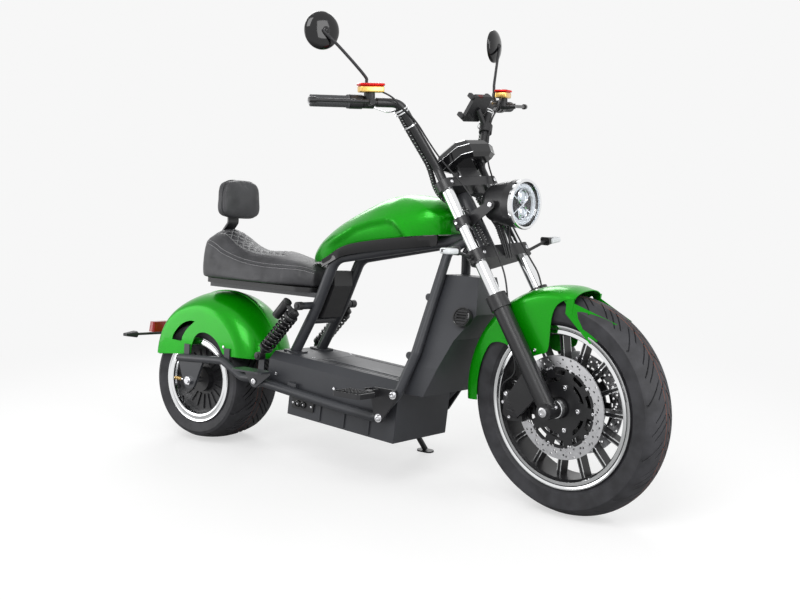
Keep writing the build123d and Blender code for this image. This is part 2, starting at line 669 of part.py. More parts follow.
with BuildPart() as socket_panel:
    panel_middle = deck_plane(down=CASE_DEPTH + 36, back=372).origin
    with BuildSketch(side_plane(-CASE_HALF, panel_middle.X, panel_middle.Z)):
        RectangleRounded(92, 36, 5, rotation=-DECK_SLOPE)
    extrude(amount=5)
finish(socket_panel, "socket_panel")

# Leg shield: a closed sheet case between the head and the deck that widens down to the frame tubes
with BuildPart() as leg_shield:
    for level, rear, front, half in (
        (300, 940, 1010, 140), (390, 957, 1050, 132), (480, 975, 1088, 108), (560, 983, 1146, 84),
        (672, 995, 1128, 53),
    ):
        with BuildSketch(Plane.XY.offset(level)):
            with Locations(((rear + front) / 2, 0)):
                Rectangle(front - rear, 2 * half)
    loft(ruled=True)
finish(leg_shield, "leg_shield")
with BuildPart() as horn:
    shield_side = Plane(origin=(1108, -87.6 - CLEARANCE, 548), x_dir=(1, 0, 0), z_dir=(0, -1, 0.3))
    with BuildSketch(shield_side):
        Circle(10)
    extrude(amount=4)
    with BuildSketch(shield_side.offset(3)):
        Circle(30)
    extrude(amount=17)
    with BuildSketch(shield_side.offset(14)):
        with GridLocations(0, 9, 1, 4):
            Rectangle(34, 4)
    extrude(amount=10, mode=Mode.SUBTRACT)
finish(horn, "horn")

# Tank cover: lofted from its tail over the seat's nose to a blunt front at the head
TANK_SECTIONS = (
    (452, 668, 674, 684, 14, 18), (482, 680, 694, 730, 42, 50), (532, 697, 720, 774, 68, 80),
    (620, 720, 756, 828, 90, 112), (750, 745.2, 794, 892, 102, 127), (870, 768.6, 816, 910, 106, 130),
    (960, 786.2, 828, 896, 98, 118), (1012, 796.4, 828, 856, 80, 92),
)
with BuildPart() as tank_cover:
    for x, low, middle, high, half_low, half in TANK_SECTIONS:
        with BuildSketch(Plane(origin=(x, 0, 0), x_dir=(0, 1, 0), z_dir=(1, 0, 0))):
            with BuildLine():
                Line((-half_low, low), (half_low, low))
                for side in (1, -1):
                    Line((side * half_low, low), (side * half, middle))
                    ThreePointArc(
                        (side * half, middle), (side * half * 0.8, middle + (high - middle) * 0.62), (0, high)
                    )
            make_face()
    loft()
finish(tank_cover, "tank_cover")
with BuildPart() as tank_trim:
    for side in (1, -1):
        with BuildSketch(side_plane(side * 86.3)):
            with BuildLine():
                Polyline((560, 703), (980, 789), (996, 764), (600, 690), (562, 660), (544, 664), close=True)
            make_face()
        extrude(amount=-side * 7)
finish(tank_trim, "tank_trim")

# Controller box between the uprights
with BuildPart() as controller_box:
    with BuildSketch(side_plane(0)):
        with BuildLine():
            Polyline((474, 490), (524, 490), (568, 600), (564, 650), (540, 650), close=True)
        make_face()
    extrude(amount=UPRIGHT_Y - TUBE_RADIUS - 2, both=True)
    for x, z in ((488, 478), (549, 612)):
        cross_rod(x, z, 60, 12, Mode.SUBTRACT)
finish(controller_box, "controller_box")

# Seat: a pan on the frame's rails and a soft pad with a raised back
with BuildPart() as seat_pan:
    with BuildSketch(Plane.XY.offset(PAN_BOTTOM)):
        with Locations((244, 0)):
            RectangleRounded(500, 200, 60)
    extrude(amount=SEAT_BOTTOM - PAN_BOTTOM)
finish(seat_pan, "seat_pan")
with BuildPart() as seat_pad:
    with BuildSketch(side_plane(0)):
        with BuildLine():
            Polyline((506, SEAT_BOTTOM), (-8, SEAT_BOTTOM), (-12, 640), (4, 720), (34, 762))
            Spline((34, 762), (74, 758), (120, 716), (200, 694), (330, 698), (440, 668))
            Polyline((440, 668), (500, 652), (506, SEAT_BOTTOM))
        make_face()
    extrude(amount=SEAT_HALF, both=True)
    with BuildSketch(Plane.XY.offset(SEAT_BOTTOM - 1)):
        with BuildLine():
            for side in (1, -1):
                Polyline((-14, side * 98), (24, side * SEAT_HALF), (290, side * SEAT_HALF))
                Spline(
                    (290, side * SEAT_HALF), (390, side * 108), (508, side * 72),
                    tangents=((1, 0), (1, side * -0.25)),
                )
            Line((-14, 98), (-14, -98))
            Line((508, 72), (508, -72))
        make_face()
    extrude(amount=200, mode=Mode.INTERSECT)
    fillet(seat_pad.edges().filter_by(Axis.Y).sort_by(Axis.X)[0:1], 10)
finish(seat_pad, "seat_pad")

# Backrest: a bent strap up behind the seat and a soft pad
with BuildPart() as backrest_bracket:
    with BuildSketch(side_plane(0)):
        with BuildLine():
            FilletPolyline((60, 568.7), (-30, 568.7), (-30, 700), (42, 786), (38, 874), radius=16)
            offset(amount=3, side=Side.BOTH)
        make_face()
    extrude(amount=26, both=True)
finish(backrest_bracket, "backrest_bracket")
with BuildPart() as backrest_pad:
    with BuildSketch(Plane(origin=(41.6, 0, 870), x_dir=(0, 1, 0), z_dir=(1, 0, 0.045))):
        with BuildLine():
            Polyline((-100, -69), (100, -69), (86, 69), (-86, 69), close=True)
        pad_outline = make_face()
        fillet(pad_outline.vertices(), 34)
    extrude(amount=50)
    fillet(backrest_pad.faces().sort_by(Axis.X)[-1].edges(), 14)
finish(backrest_pad, "backrest_pad")

# Rider pegs that fold up on clevis brackets, and fixed passenger steps at the pivot
PEG_PIN = (862, 210, 300)
with BuildPart() as peg_brackets:
    for side in (1, -1):
        with BuildSketch(side_plane(side * 183)):
            for x, z in PEG_BOLTS + [(862, 300)]:
                with Locations((x, z)):
                    Circle(15)
            make_hull()
        extrude(amount=-side * 8)
        for x in (843, 876):
            with BuildSketch(Plane(origin=(x, 0, 0), x_dir=(0, 1, 0), z_dir=(1, 0, 0))):
                with Locations((side * 203, PEG_PIN[2])):
                    Rectangle(30, 24)
            extrude(amount=5)
        rod((842, side * PEG_PIN[1], PEG_PIN[2]), (882, side * PEG_PIN[1], PEG_PIN[2]), 4)
finish(peg_brackets, "peg_brackets")
for name, side in (("peg_left", 1), ("peg_right", -1)):
    with BuildPart() as peg:
        with BuildSketch(Plane.XY.offset(PEG_PIN[2] - 8)):
            with Locations((PEG_PIN[0], side * (PEG_PIN[1] + 10))):
                Rectangle(26, 36)
            with Locations((852, side * 278)):
                RectangleRounded(104, 84, 10)
                Rectangle(70, 60, mode=Mode.SUBTRACT)
                Rectangle(12, 64)
                Rectangle(74, 12)
        extrude(amount=16)
        pin = [(848, side * PEG_PIN[1], PEG_PIN[2]), (876, side * PEG_PIN[1], PEG_PIN[2])]
        rod(*pin, 4 + CLEARANCE, Mode.SUBTRACT)
    finish(peg, name)
with BuildPart() as passenger_steps:
    for side in (1, -1):
        with BuildSketch(side_plane(side * 182)):
            with Locations((PIVOT_X, PIVOT_Z)):
                Circle(19)
            with Locations((318, 298), (422, 298)):
                Circle(7)
            make_hull()
            with Locations((PIVOT_X, PIVOT_Z)):
                Circle(9 + CLEARANCE, mode=Mode.SUBTRACT)
        extrude(amount=-side * 6)
        with BuildSketch(Plane.XY.offset(302)):
            with Locations((370, side * 214)):
                RectangleRounded(132, 64, 10)
        extrude(amount=6)
finish(passenger_steps, "passenger_steps")

# Side stand, down on the ground, folding up and back about its tilted pin
floor_up = (GROUNDED.inverse() * Pos(0, 0, 1)).position - (GROUNDED.inverse() * Pos(0, 0, 0)).position
with BuildPart() as side_stand:
    rod(STAND_PIVOT - STAND_AXIS * 7.5, STAND_PIVOT + STAND_AXIS * 13, 13)
    rod(STAND_PIVOT + stand_run * 6 + STAND_AXIS * 2, stand_foot + floor_up * 7, 9.5)
    with BuildSketch(Plane(origin=stand_foot, x_dir=(1, 0, 0), z_dir=floor_up)):
        SlotOverall(64, 36)
    extrude(amount=5)
    bore = [STAND_PIVOT - STAND_AXIS * 9, STAND_PIVOT + STAND_AXIS * 14]
    rod(*bore, STAND_PIN_RADIUS + CLEARANCE, Mode.SUBTRACT)
finish(side_stand, "side_stand")

# Front fender: a crowned band with a side plate down to each fork leg's lugs
with BuildPart() as front_fender:
    rear_end = radians(184)
    half = FRONT_FENDER_HALF
    with BuildSketch(
        Plane(origin=front_axle_point, x_dir=(0, 1, 0), z_dir=(sin(rear_end), 0, -cos(rear_end)))
    ):
        with BuildLine():
            for sheet in (0, FENDER_SHEET):
                edge = half - sheet
                for side in (1, -1):
                    Line((side * edge, 292), (side * edge, 318))
                ThreePointArc((-edge, 318), (0, FRONT_FENDER_RADIUS - sheet), (edge, 318))
            for side in (1, -1):
                Line((side * half, 292), (side * (half - FENDER_SHEET), 292))
        make_face()
    revolve(axis=Axis(front_axle_point, (0, 1, 0)), revolution_arc=104)
    for side in (1, -1):
        with BuildSketch(side_plane(side * (half - FENDER_SHEET))):
            with BuildLine():
                Polyline((1205, 545), (1258, 492), (1338, 458), (1402, 486), (1428, 620), close=True)
            make_face()
        extrude(amount=-side * FENDER_SHEET)
finish(front_fender, "front_fender", turns=True)

# Calipers, astride the discs behind the fork legs
with BuildPart() as calipers:
    for side in (1, -1):
        with BuildSketch(side_plane(side * 28)):
            with BuildLine():
                Polyline(
                    (1250, 280), (1250, 346), (1262, 356), (1318, 350), (1322, 268), (1268, 264), close=True
                )
            make_face()
        extrude(amount=-side * (CALIPER_OUTER - 28))
        slot_inner = fork_point(0, side * (DISC_OFFSET - 7))
        slot_outer = fork_point(0, side * (DISC_OFFSET + 7))
        rod(slot_inner, slot_outer, DISC_RADIUS + 6, Mode.SUBTRACT)
finish(calipers, "calipers", turns=True)

# Headlight: bowl, lens and bezel on side plates clamped to the stanchions
LAMP_X = 1120
LAMP_Z = 900
LAMP_BOLT_X = 1196
BRACKET_UP = 600
with BuildPart() as headlight_bowl:
    with BuildSketch(side_plane(0, LAMP_X, LAMP_Z)):
        with BuildLine():
            Polyline((34, 58), (108, 71), (134, 71), (134, 66), (124, 66), (124, 0), (0, 0), (0, 26))
            ThreePointArc((0, 26), (12, 44), (34, 58))
        make_face()
    revolve(axis=Axis((LAMP_X, 0, LAMP_Z), (1, 0, 0)))
    cross_rod(LAMP_BOLT_X, LAMP_Z, 76, 11)
finish(headlight_bowl, "headlight_bowl", turns=True)
with BuildPart() as headlight_lens:
    with BuildSketch(side_plane(0, LAMP_X, LAMP_Z)):
        with BuildLine():
            Polyline((146, 0), (124, 0), (124, 66 - CLEARANCE), (138, 66 - CLEARANCE))
            TangentArc((146, 0), (138, 66 - CLEARANCE), tangent=(0, 1))
        make_face()
    revolve(axis=Axis((LAMP_X, 0, LAMP_Z), (1, 0, 0)))
finish(headlight_lens, "headlight_lens", turns=True)
with BuildPart() as headlight_bezel:
    with BuildSketch(side_plane(0, LAMP_X, LAMP_Z)):
        with BuildLine():
            Polyline((134, 66), (134, 73), (144, 75), (148, 72), (146, 66), close=True)
        make_face()
    revolve(axis=Axis((LAMP_X, 0, LAMP_Z), (1, 0, 0)))
finish(headlight_bezel, "headlight_bezel", turns=True)
with BuildPart() as headlight_bracket:
    for side in (1, -1):
        ring = fork_point(BRACKET_UP + 14)
        with BuildSketch(fork_plane(BRACKET_UP, side * LEG_OFFSET)):
            Circle(STANCHION_RADIUS + 7)
        extrude(amount=28)
        with BuildSketch(side_plane(side * 76)):
            with Locations((ring.X, ring.Z)):
                Circle(20)
            with Locations((LAMP_BOLT_X, LAMP_Z)):
                Circle(14)
            make_hull()
        extrude(amount=-side * 4)
        with BuildSketch(fork_plane(BRACKET_UP - 30, side * LEG_OFFSET)):
            Circle(STANCHION_RADIUS + CLEARANCE)
        extrude(amount=90, mode=Mode.SUBTRACT)
finish(headlight_bracket, "headlight_bracket", turns=True)

# Front turn signals on stems from the lower clamp
with BuildPart() as front_signals:
    for side in (1, -1):
        clamp_side = LEG_OFFSET + STANCHION_RADIUS + 11 + CLEARANCE
        boss_start = fork_point(LOWER_CLAMP + CLAMP_THICKNESS / 2, side * clamp_side)
        boss_end = boss_start + Vector(0, side * 10, 0)
        stem_end = Vector(1178, side * 214, 772)
        rod(boss_start, boss_end, 9)
        rod(boss_end - Vector(0, side * 4, 0), stem_end, 5)
        lens_start = stem_end - Vector(0, side * 3, 0)
        with BuildSketch(Plane(origin=lens_start, x_dir=(1, 0, 0), z_dir=(0.06, side, 0.08))):
            RectangleRounded(36, 26, 8)
        extrude(amount=56, taper=9)
finish(front_signals, "front_signals", turns=True)

# Dash on the upper clamp's post
with BuildPart() as dash:
    with BuildSketch(fork_plane(UPPER_CLAMP + UPPER_CLAMP_THICKNESS + 34, ahead=44)):
        RectangleRounded(112, 150, 16)
    extrude(amount=58, taper=12)
finish(dash, "dash", turns=True)

# Handlebar: two high risers on the clamp that bend out and back to the grips
BAR_KNEE = Vector(948, 206, 1196)
BAR_END = Vector(832, 458, 1201)
bar_out = (BAR_END - BAR_KNEE).normalized()
bar_length = (BAR_END - BAR_KNEE).length
bar_front = Vector(bar_out.Y, -bar_out.X, 0).normalized()
BAR_UP = Vector(0, 0, 1)


def mirrored(point, side):
    """Give a point drawn for the left its side of the vehicle."""
    return Vector(point.X, side * point.Y, point.Z)


def bar_point(along, ahead=0, up=0, side=1):
    """Point along the grip end of the bar from its knee, ahead of it and above it."""
    return mirrored(BAR_KNEE + bar_out * along + bar_front * ahead + BAR_UP * up, side)


with BuildPart() as handlebar:
    for side in (1, -1):
        foot = fork_point(UPPER_CLAMP + UPPER_CLAMP_THICKNESS, side * LEG_OFFSET)
        bend = fork_point(UPPER_CLAMP + UPPER_CLAMP_THICKNESS + 46, side * LEG_OFFSET)
        with BuildLine() as route:
            FilletPolyline(foot, bend, mirrored(BAR_KNEE, side), bar_point(74, side=side), radius=[44, 44])
        with BuildSketch(Plane(origin=foot, z_dir=fork_up)):
            Circle(BAR_RADIUS)
        sweep(path=route.line)
        rod(bar_point(70, side=side), bar_point(bar_length, side=side), GRIP_BAR_RADIUS)
finish(handlebar, "handlebar", turns=True)
with BuildPart() as grips:
    for side in (1, -1):
        inner_end = bar_point(bar_length - GRIP_LENGTH, side=side)
        outer_end = bar_point(bar_length - 1, side=side)
        rod(inner_end, outer_end, GRIP_RADIUS)
        rod(inner_end, outer_end, GRIP_BAR_RADIUS + CLEARANCE, Mode.SUBTRACT)
finish(grips, "grips", turns=True)

# Controls: clamps, switch pods, fluid reservoirs and ball-ended levers
with BuildPart() as control_pods:
    for side in (1, -1):
        rod(bar_point(84, side=side), bar_point(116, side=side), 19)
        rod(bar_point(120, side=side), bar_point(bar_length - GRIP_LENGTH - 2, side=side), 21)
        rod(bar_point(116, side=side), bar_point(120, side=side), 16)
        rod(bar_point(100, side=side), bar_point(104, 44, side=side), 11)
        rod(bar_point(100, 22, side=side), bar_point(100, 22, 26, side=side), 14)
        bore = [bar_point(82, side=side), bar_point(bar_length - GRIP_LENGTH, side=side)]
        rod(*bore, GRIP_BAR_RADIUS + CLEARANCE, Mode.SUBTRACT)
finish(control_pods, "control_pods", turns=True)
with BuildPart() as reservoirs:
    for side in (1, -1):
        rod(bar_point(100, 22, 26, side=side), bar_point(100, 22, 46, side=side), 23)
finish(reservoirs, "reservoirs", turns=True)
with BuildPart() as reservoir_caps:
    for side in (1, -1):
        rod(bar_point(100, 22, 46, side=side), bar_point(100, 22, 54, side=side), 24.5)
finish(reservoir_caps, "reservoir_caps", turns=True)
with BuildPart() as levers:
    for side in (1, -1):
        pivot = bar_point(112, 52, side=side)
        tip = bar_point(bar_length + 6, 50, side=side)
        rod(bar_point(104, 45, side=side), bar_point(106, 62, side=side), 9)
        rod(pivot, tip, 5.5)
        with BuildSketch(Plane(origin=tip, x_dir=(0, 0, 1), z_dir=(tip - pivot))):
            Circle(9)
        extrude(amount=10, both=True)
finish(levers, "levers", turns=True)

# Mirrors on bent stems from the control pods
MIRROR_CENTRE = Vector(816, 392, 1403)
MIRROR_RADIUS = 55
with BuildPart() as mirrors:
    for side in (1, -1):
        foot = bar_point(100, -10, 18.5, side=side)
        centre = mirrored(MIRROR_CENTRE, side)
        toe = radians(17)
        look_back = Vector(-cos(toe), -side * sin(toe), 0)
        socket = centre - look_back * 8 + Vector(0, 0, -30)
        with BuildLine() as route:
            FilletPolyline(foot, foot + Vector(0, 0, 52), socket, radius=24)
        with BuildSketch(Plane(origin=foot, z_dir=(0, 0, 1))):
            Circle(4.5)
        sweep(path=route.line)
        with BuildSketch(Plane(origin=centre, z_dir=look_back)):
            Circle(MIRROR_RADIUS)
        extrude(amount=6)
        with BuildSketch(Plane(origin=centre, z_dir=look_back * -1)):
            Circle(MIRROR_RADIUS)
        extrude(amount=14, taper=42)
finish(mirrors, "mirrors", turns=True)

# Phone holder clipped to the left riser
with BuildPart() as phone_holder:
    holder = Vector(966, 130, 1184)
    riser_foot = fork_point(UPPER_CLAMP + UPPER_CLAMP_THICKNESS + 46, LEG_OFFSET)
    riser = (BAR_KNEE - riser_foot).normalized()
    ring = riser_foot + riser * 142
    rod(ring - riser * 14, ring + riser * 14, BAR_RADIUS + 7)
    rod(ring, holder, 8)
    with BuildSketch(Plane(origin=holder, x_dir=(0, 1, 0), z_dir=(-0.8, 0, 0.6))):
        RectangleRounded(84, 96, 8)
    extrude(amount=12)
    rod(riser_foot, BAR_KNEE, BAR_RADIUS + CLEARANCE, Mode.SUBTRACT)
finish(phone_holder, "phone_holder", turns=True)

# Parked: centre the whole machine's box over the origin and write the pieces
boxes = [(GROUNDED * (TURNED * piece if turns else piece)).bounding_box() for piece, turns in finished]
centre_x = (min(box.min.X for box in boxes) + max(box.max.X for box in boxes)) / 2
centre_y = (min(box.min.Y for box in boxes) + max(box.max.Y for box in boxes)) / 2
PARKED = Pos(-round(centre_x), -round(centre_y), 0) * GROUNDED
for piece, turns in finished:
    placed = PARKED * (TURNED * piece if turns else piece)
    placed.label = piece.label
    export_step(placed, f"parts/{piece.label}.step")
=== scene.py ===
import json
from math import cos, pi, radians, sin, sqrt

import bmesh
import bpy
from mathutils import Matrix, Vector
from mathutils.bvhtree import BVHTree


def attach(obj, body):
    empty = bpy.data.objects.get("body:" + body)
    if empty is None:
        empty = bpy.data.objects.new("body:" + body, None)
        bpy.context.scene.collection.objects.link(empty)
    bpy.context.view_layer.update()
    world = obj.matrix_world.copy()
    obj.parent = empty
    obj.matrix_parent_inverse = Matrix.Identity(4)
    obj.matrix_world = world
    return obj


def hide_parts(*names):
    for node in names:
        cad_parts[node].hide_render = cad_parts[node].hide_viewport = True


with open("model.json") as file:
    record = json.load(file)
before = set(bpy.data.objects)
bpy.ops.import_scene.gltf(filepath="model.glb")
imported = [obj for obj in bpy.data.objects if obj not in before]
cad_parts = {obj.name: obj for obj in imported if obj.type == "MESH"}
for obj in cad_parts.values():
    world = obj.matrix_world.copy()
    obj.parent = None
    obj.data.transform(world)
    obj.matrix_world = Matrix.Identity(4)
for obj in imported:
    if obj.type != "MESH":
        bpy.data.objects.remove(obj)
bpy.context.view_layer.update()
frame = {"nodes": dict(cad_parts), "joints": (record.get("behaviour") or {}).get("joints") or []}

# Places are in the vehicle's own upright frame in millimetres: X forward, Y left, Z up, rear axle over the origin.
METRES = 0.001
joints = {joint["name"]: joint for joint in frame["joints"]}
REAR_AXLE = Vector((0, 0, 217))
FRONT_AXLE = Vector((1435, 0, 325))
RAKE = radians(32.5)
PARKED_TURN = radians(-10)


def joint_axis(name):
    """Unit axis of a packed joint."""
    return Vector(joints[name]["axis"]).normalized()


ahead = joint_axis("left_peg_fold")
left = joint_axis("rear_wheel_spin")
PARKED = Matrix((ahead, left, ahead.cross(left))).transposed().to_4x4()
PARKED.translation = Vector(joints["rear_wheel_spin"]["pos_m"]) - PARKED.to_3x3() @ REAR_AXLE * METRES
steer_pivot = Vector(joints["steering_turn"]["pos_m"])
TURNED = (
    Matrix.Translation(steer_pivot)
    @ Matrix.Rotation(PARKED_TURN, 4, joint_axis("steering_turn"))
    @ Matrix.Translation(-steer_pivot)
    @ PARKED
)
FORK_UP = Vector((-sin(RAKE), 0, cos(RAKE)))
FORK_AHEAD = Vector((cos(RAKE), 0, sin(RAKE)))


def fork_point(up, y=0, ahead=0):
    """Point up the fork legs from the front axle, in the unturned vehicle frame."""
    return FRONT_AXLE + FORK_UP * up + FORK_AHEAD * ahead + Vector((0, y, 0))


# Materials
def new_material(name):
    """Start a node material and return it with its tree and shader."""
    material = bpy.data.materials.new(name)
    material.use_nodes = True
    tree = material.node_tree
    return material, tree, tree.nodes["Principled BSDF"]


def noise(tree, scale, detail=4.0):
    """Noise in the piece's own space, finer as its scale grows."""
    where = tree.nodes.new("ShaderNodeTexCoord")
    texture = tree.nodes.new("ShaderNodeTexNoise")
    texture.inputs["Scale"].default_value = scale
    texture.inputs["Detail"].default_value = detail
    tree.links.new(where.outputs["Object"], texture.inputs["Vector"])
    return texture


def ramp(tree, source, low, high, start=0.35, end=0.65):
    """Turn a grey value into a run between two colours."""
    node = tree.nodes.new("ShaderNodeValToRGB")
    node.color_ramp.elements[0].position = start
    node.color_ramp.elements[1].position = end
    node.color_ramp.elements[0].color = (*low, 1)
    node.color_ramp.elements[1].color = (*high, 1)
    tree.links.new(source, node.inputs["Fac"])
    return node


def spread(tree, source, low, high):
    """Stretch a value from 0 to 1 over another span."""
    node = tree.nodes.new("ShaderNodeMapRange")
    node.inputs["To Min"].default_value = low
    node.inputs["To Max"].default_value = high
    tree.links.new(source, node.inputs["Value"])
    return node


def combine(tree, operation, *sources):
    """Maths node over linked sources."""
    node = tree.nodes.new("ShaderNodeMath")
    node.operation = operation
    for source, socket in zip(sources, node.inputs):
        tree.links.new(source, socket)
    return node


def bump(tree, shader, source, strength, distance):
    """Raise the surface by a grey value."""
    node = tree.nodes.new("ShaderNodeBump")
    node.inputs["Strength"].default_value = strength
    node.inputs["Distance"].default_value = distance
    tree.links.new(source, node.inputs["Height"])
    tree.links.new(node.outputs["Normal"], shader.inputs["Normal"])
    return node


def grained(name, low, high, scale, rough, rough_spread=0.08, relief=0.3, depth=0.0002, metallic=0.0):
    """Plain solid colour with fine variation in tone, gloss and relief."""
    material, tree, shader = new_material(name)
    broad = noise(tree, 11, 3)
    fine = noise(tree, scale, 5)
    tone = ramp(tree, broad.outputs["Fac"], low, high, 0.25, 0.75)
    tree.links.new(tone.outputs["Color"], shader.inputs["Base Color"])
    gloss = spread(tree, fine.outputs["Fac"], rough - rough_spread, rough + rough_spread)
    tree.links.new(gloss.outputs["Result"], shader.inputs["Roughness"])
    shader.inputs["Metallic"].default_value = metallic
    bump(tree, shader, fine.outputs["Fac"], relief, depth)
    return material


def candy_paint(name, deep, bright):
    """Metallic paint: flakes in a coloured base under clear lacquer."""
    material, tree, shader = new_material(name)
    flakes = noise(tree, 2600, 2)
    broad = noise(tree, 6, 2)
    tone = ramp(tree, flakes.outputs["Fac"], deep, bright, 0.3, 0.7)
    shade = tree.nodes.new("ShaderNodeMix")
    shade.data_type = "RGBA"
    shade.blend_type = "MULTIPLY"
    shade.inputs["Factor"].default_value = 0.2
    tree.links.new(tone.outputs["Color"], shade.inputs["A"])
    tree.links.new(broad.outputs["Fac"], shade.inputs["B"])
    tree.links.new(shade.outputs["Result"], shader.inputs["Base Color"])
    shader.inputs["Metallic"].default_value = 0.35
    shader.inputs["Roughness"].default_value = 0.32
    shader.inputs["Specular IOR Level"].default_value = 0.25
    shader.inputs["Coat Weight"].default_value = 0.45
    shader.inputs["Coat Roughness"].default_value = 0.05
    shader.inputs["Coat IOR"].default_value = 1.3
    bump(tree, shader, flakes.outputs["Fac"], 0.05, 0.0001)
    return material


def leather(name, low, high):
    """Pebbled vinyl: cells pressed in, with creases and a dull sheen."""
    material, tree, shader = new_material(name)
    where = tree.nodes.new("ShaderNodeTexCoord")
    cells = tree.nodes.new("ShaderNodeTexVoronoi")
    cells.feature = "DISTANCE_TO_EDGE"
    cells.inputs["Scale"].default_value = 620
    tree.links.new(where.outputs["Object"], cells.inputs["Vector"])
    broad = noise(tree, 14, 4)
    tree.links.new(ramp(tree, broad.outputs["Fac"], low, high).outputs["Color"], shader.inputs["Base Color"])
    shader.inputs["Roughness"].default_value = 0.5
    bump(tree, shader, cells.outputs["Distance"], 0.35, 0.0006)
    return material


LINE_HALF = 0.0006


def tyre_rubber(name, line_at):
    """Tyre rubber with two thin marking lines round the tread."""
    material, tree, shader = new_material(name)
    fine = noise(tree, 320, 6)
    broad = noise(tree, 18, 3)
    base = ramp(tree, broad.outputs["Fac"], (0.018, 0.018, 0.021), (0.042, 0.042, 0.048))
    where = tree.nodes.new("ShaderNodeTexCoord")
    split = tree.nodes.new("ShaderNodeSeparateXYZ")
    tree.links.new(where.outputs["Object"], split.inputs["Vector"])
    across = combine(tree, "ABSOLUTE", split.outputs["Z"])
    near = combine(tree, "COMPARE", across.outputs["Value"])
    near.inputs[1].default_value = line_at
    near.inputs[2].default_value = LINE_HALF
    mix = tree.nodes.new("ShaderNodeMix")
    mix.data_type = "RGBA"
    mix.inputs["B"].default_value = (0.28, 0.07, 0.03, 1)
    tree.links.new(near.outputs["Value"], mix.inputs["Factor"])
    tree.links.new(base.outputs["Color"], mix.inputs["A"])
    tree.links.new(mix.outputs["Result"], shader.inputs["Base Color"])
    shader.inputs["Roughness"].default_value = 0.62
    bump(tree, shader, fine.outputs["Fac"], 0.35, 0.0004)
    return material


def polished(name, color, rough, scale=90):
    """Bright metal with faint streaks in its gloss."""
    material, tree, shader = new_material(name)
    shader.inputs["Base Color"].default_value = (*color, 1)
    shader.inputs["Metallic"].default_value = 1.0
    fine = noise(tree, scale, 5)
    gloss = spread(tree, fine.outputs["Fac"], rough * 0.6, rough * 1.5)
    tree.links.new(gloss.outputs["Result"], shader.inputs["Roughness"])
    bump(tree, shader, fine.outputs["Fac"], 0.04, 0.0001)
    return material


def clear(name, color, rough=0.03):
    """Clear moulded lens."""
    material, tree, shader = new_material(name)
    shader.inputs["Base Color"].default_value = (*color, 1)
    shader.inputs["Transmission Weight"].default_value = 1.0
    shader.inputs["IOR"].default_value = 1.3
    gloss = spread(tree, noise(tree, 200, 2).outputs["Fac"], rough, rough + 0.03)
    tree.links.new(gloss.outputs["Result"], shader.inputs["Roughness"])
    return material


green = candy_paint("candy_green", (0.0005, 0.22, 0.0003), (0.006, 0.56, 0.001))
tyre_front = tyre_rubber("tyre_front", 0.007)
tyre_rear = tyre_rubber("tyre_rear", 0.012)
chrome = polished("chrome", (0.86, 0.87, 0.88), 0.07)
alloy = polished("bright_alloy", (0.78, 0.79, 0.8), 0.2)
disc_steel = polished("disc_steel", (0.72, 0.72, 0.74), 0.3, 60)
zinc = polished("zinc_bolt", (0.72, 0.72, 0.74), 0.22)
brass = polished("brass_adjuster", (0.72, 0.5, 0.2), 0.2)
gold = polished("gold_anodised", (0.85, 0.55, 0.16), 0.24)
red_anodised = polished("red_anodised", (0.6, 0.02, 0.02), 0.25)
satin_black = grained("satin_black", (0.013, 0.013, 0.014), (0.018, 0.018, 0.020), 420, 0.34)
frame_grey = grained("frame_grey", (0.036, 0.038, 0.044), (0.044, 0.046, 0.053), 520, 0.4, relief=0.3)
case_grey = grained("case_grey", (0.034, 0.036, 0.042), (0.042, 0.044, 0.051), 640, 0.48, relief=0.4)
gloss_black = grained("gloss_black", (0.004, 0.004, 0.005), (0.008, 0.008, 0.009), 60, 0.08, 0.03, relief=0.05)
moulded = grained("moulded_black", (0.011, 0.011, 0.012), (0.015, 0.015, 0.017), 900, 0.46, relief=0.4)
cast_black = grained("cast_black", (0.014, 0.014, 0.016), (0.020, 0.020, 0.022), 260, 0.42, relief=0.5, depth=0.0004)
grip_rubber = grained("grip_rubber", (0.055, 0.056, 0.06), (0.09, 0.092, 0.097), 700, 0.75)
seat_leather = leather("seat_leather", (0.030, 0.030, 0.033), (0.058, 0.058, 0.063))
thread = grained("pale_thread", (0.42, 0.42, 0.43), (0.6, 0.6, 0.61), 900, 0.8)
clear_lens = clear("clear_lens", (0.95, 0.97, 1.0))
red_lens = grained("red_lens", (0.35, 0.004, 0.004), (0.5, 0.008, 0.008), 120, 0.12, 0.04)
mirror_glass = polished("mirror_glass", (0.75, 0.78, 0.8), 0.02)
lamp_white = grained("lamp_white", (0.75, 0.78, 0.8), (0.9, 0.92, 0.94), 200, 0.4)
anodised_pegs = grained("peg_black", (0.02, 0.02, 0.022), (0.04, 0.04, 0.043), 380, 0.4, metallic=0.4)

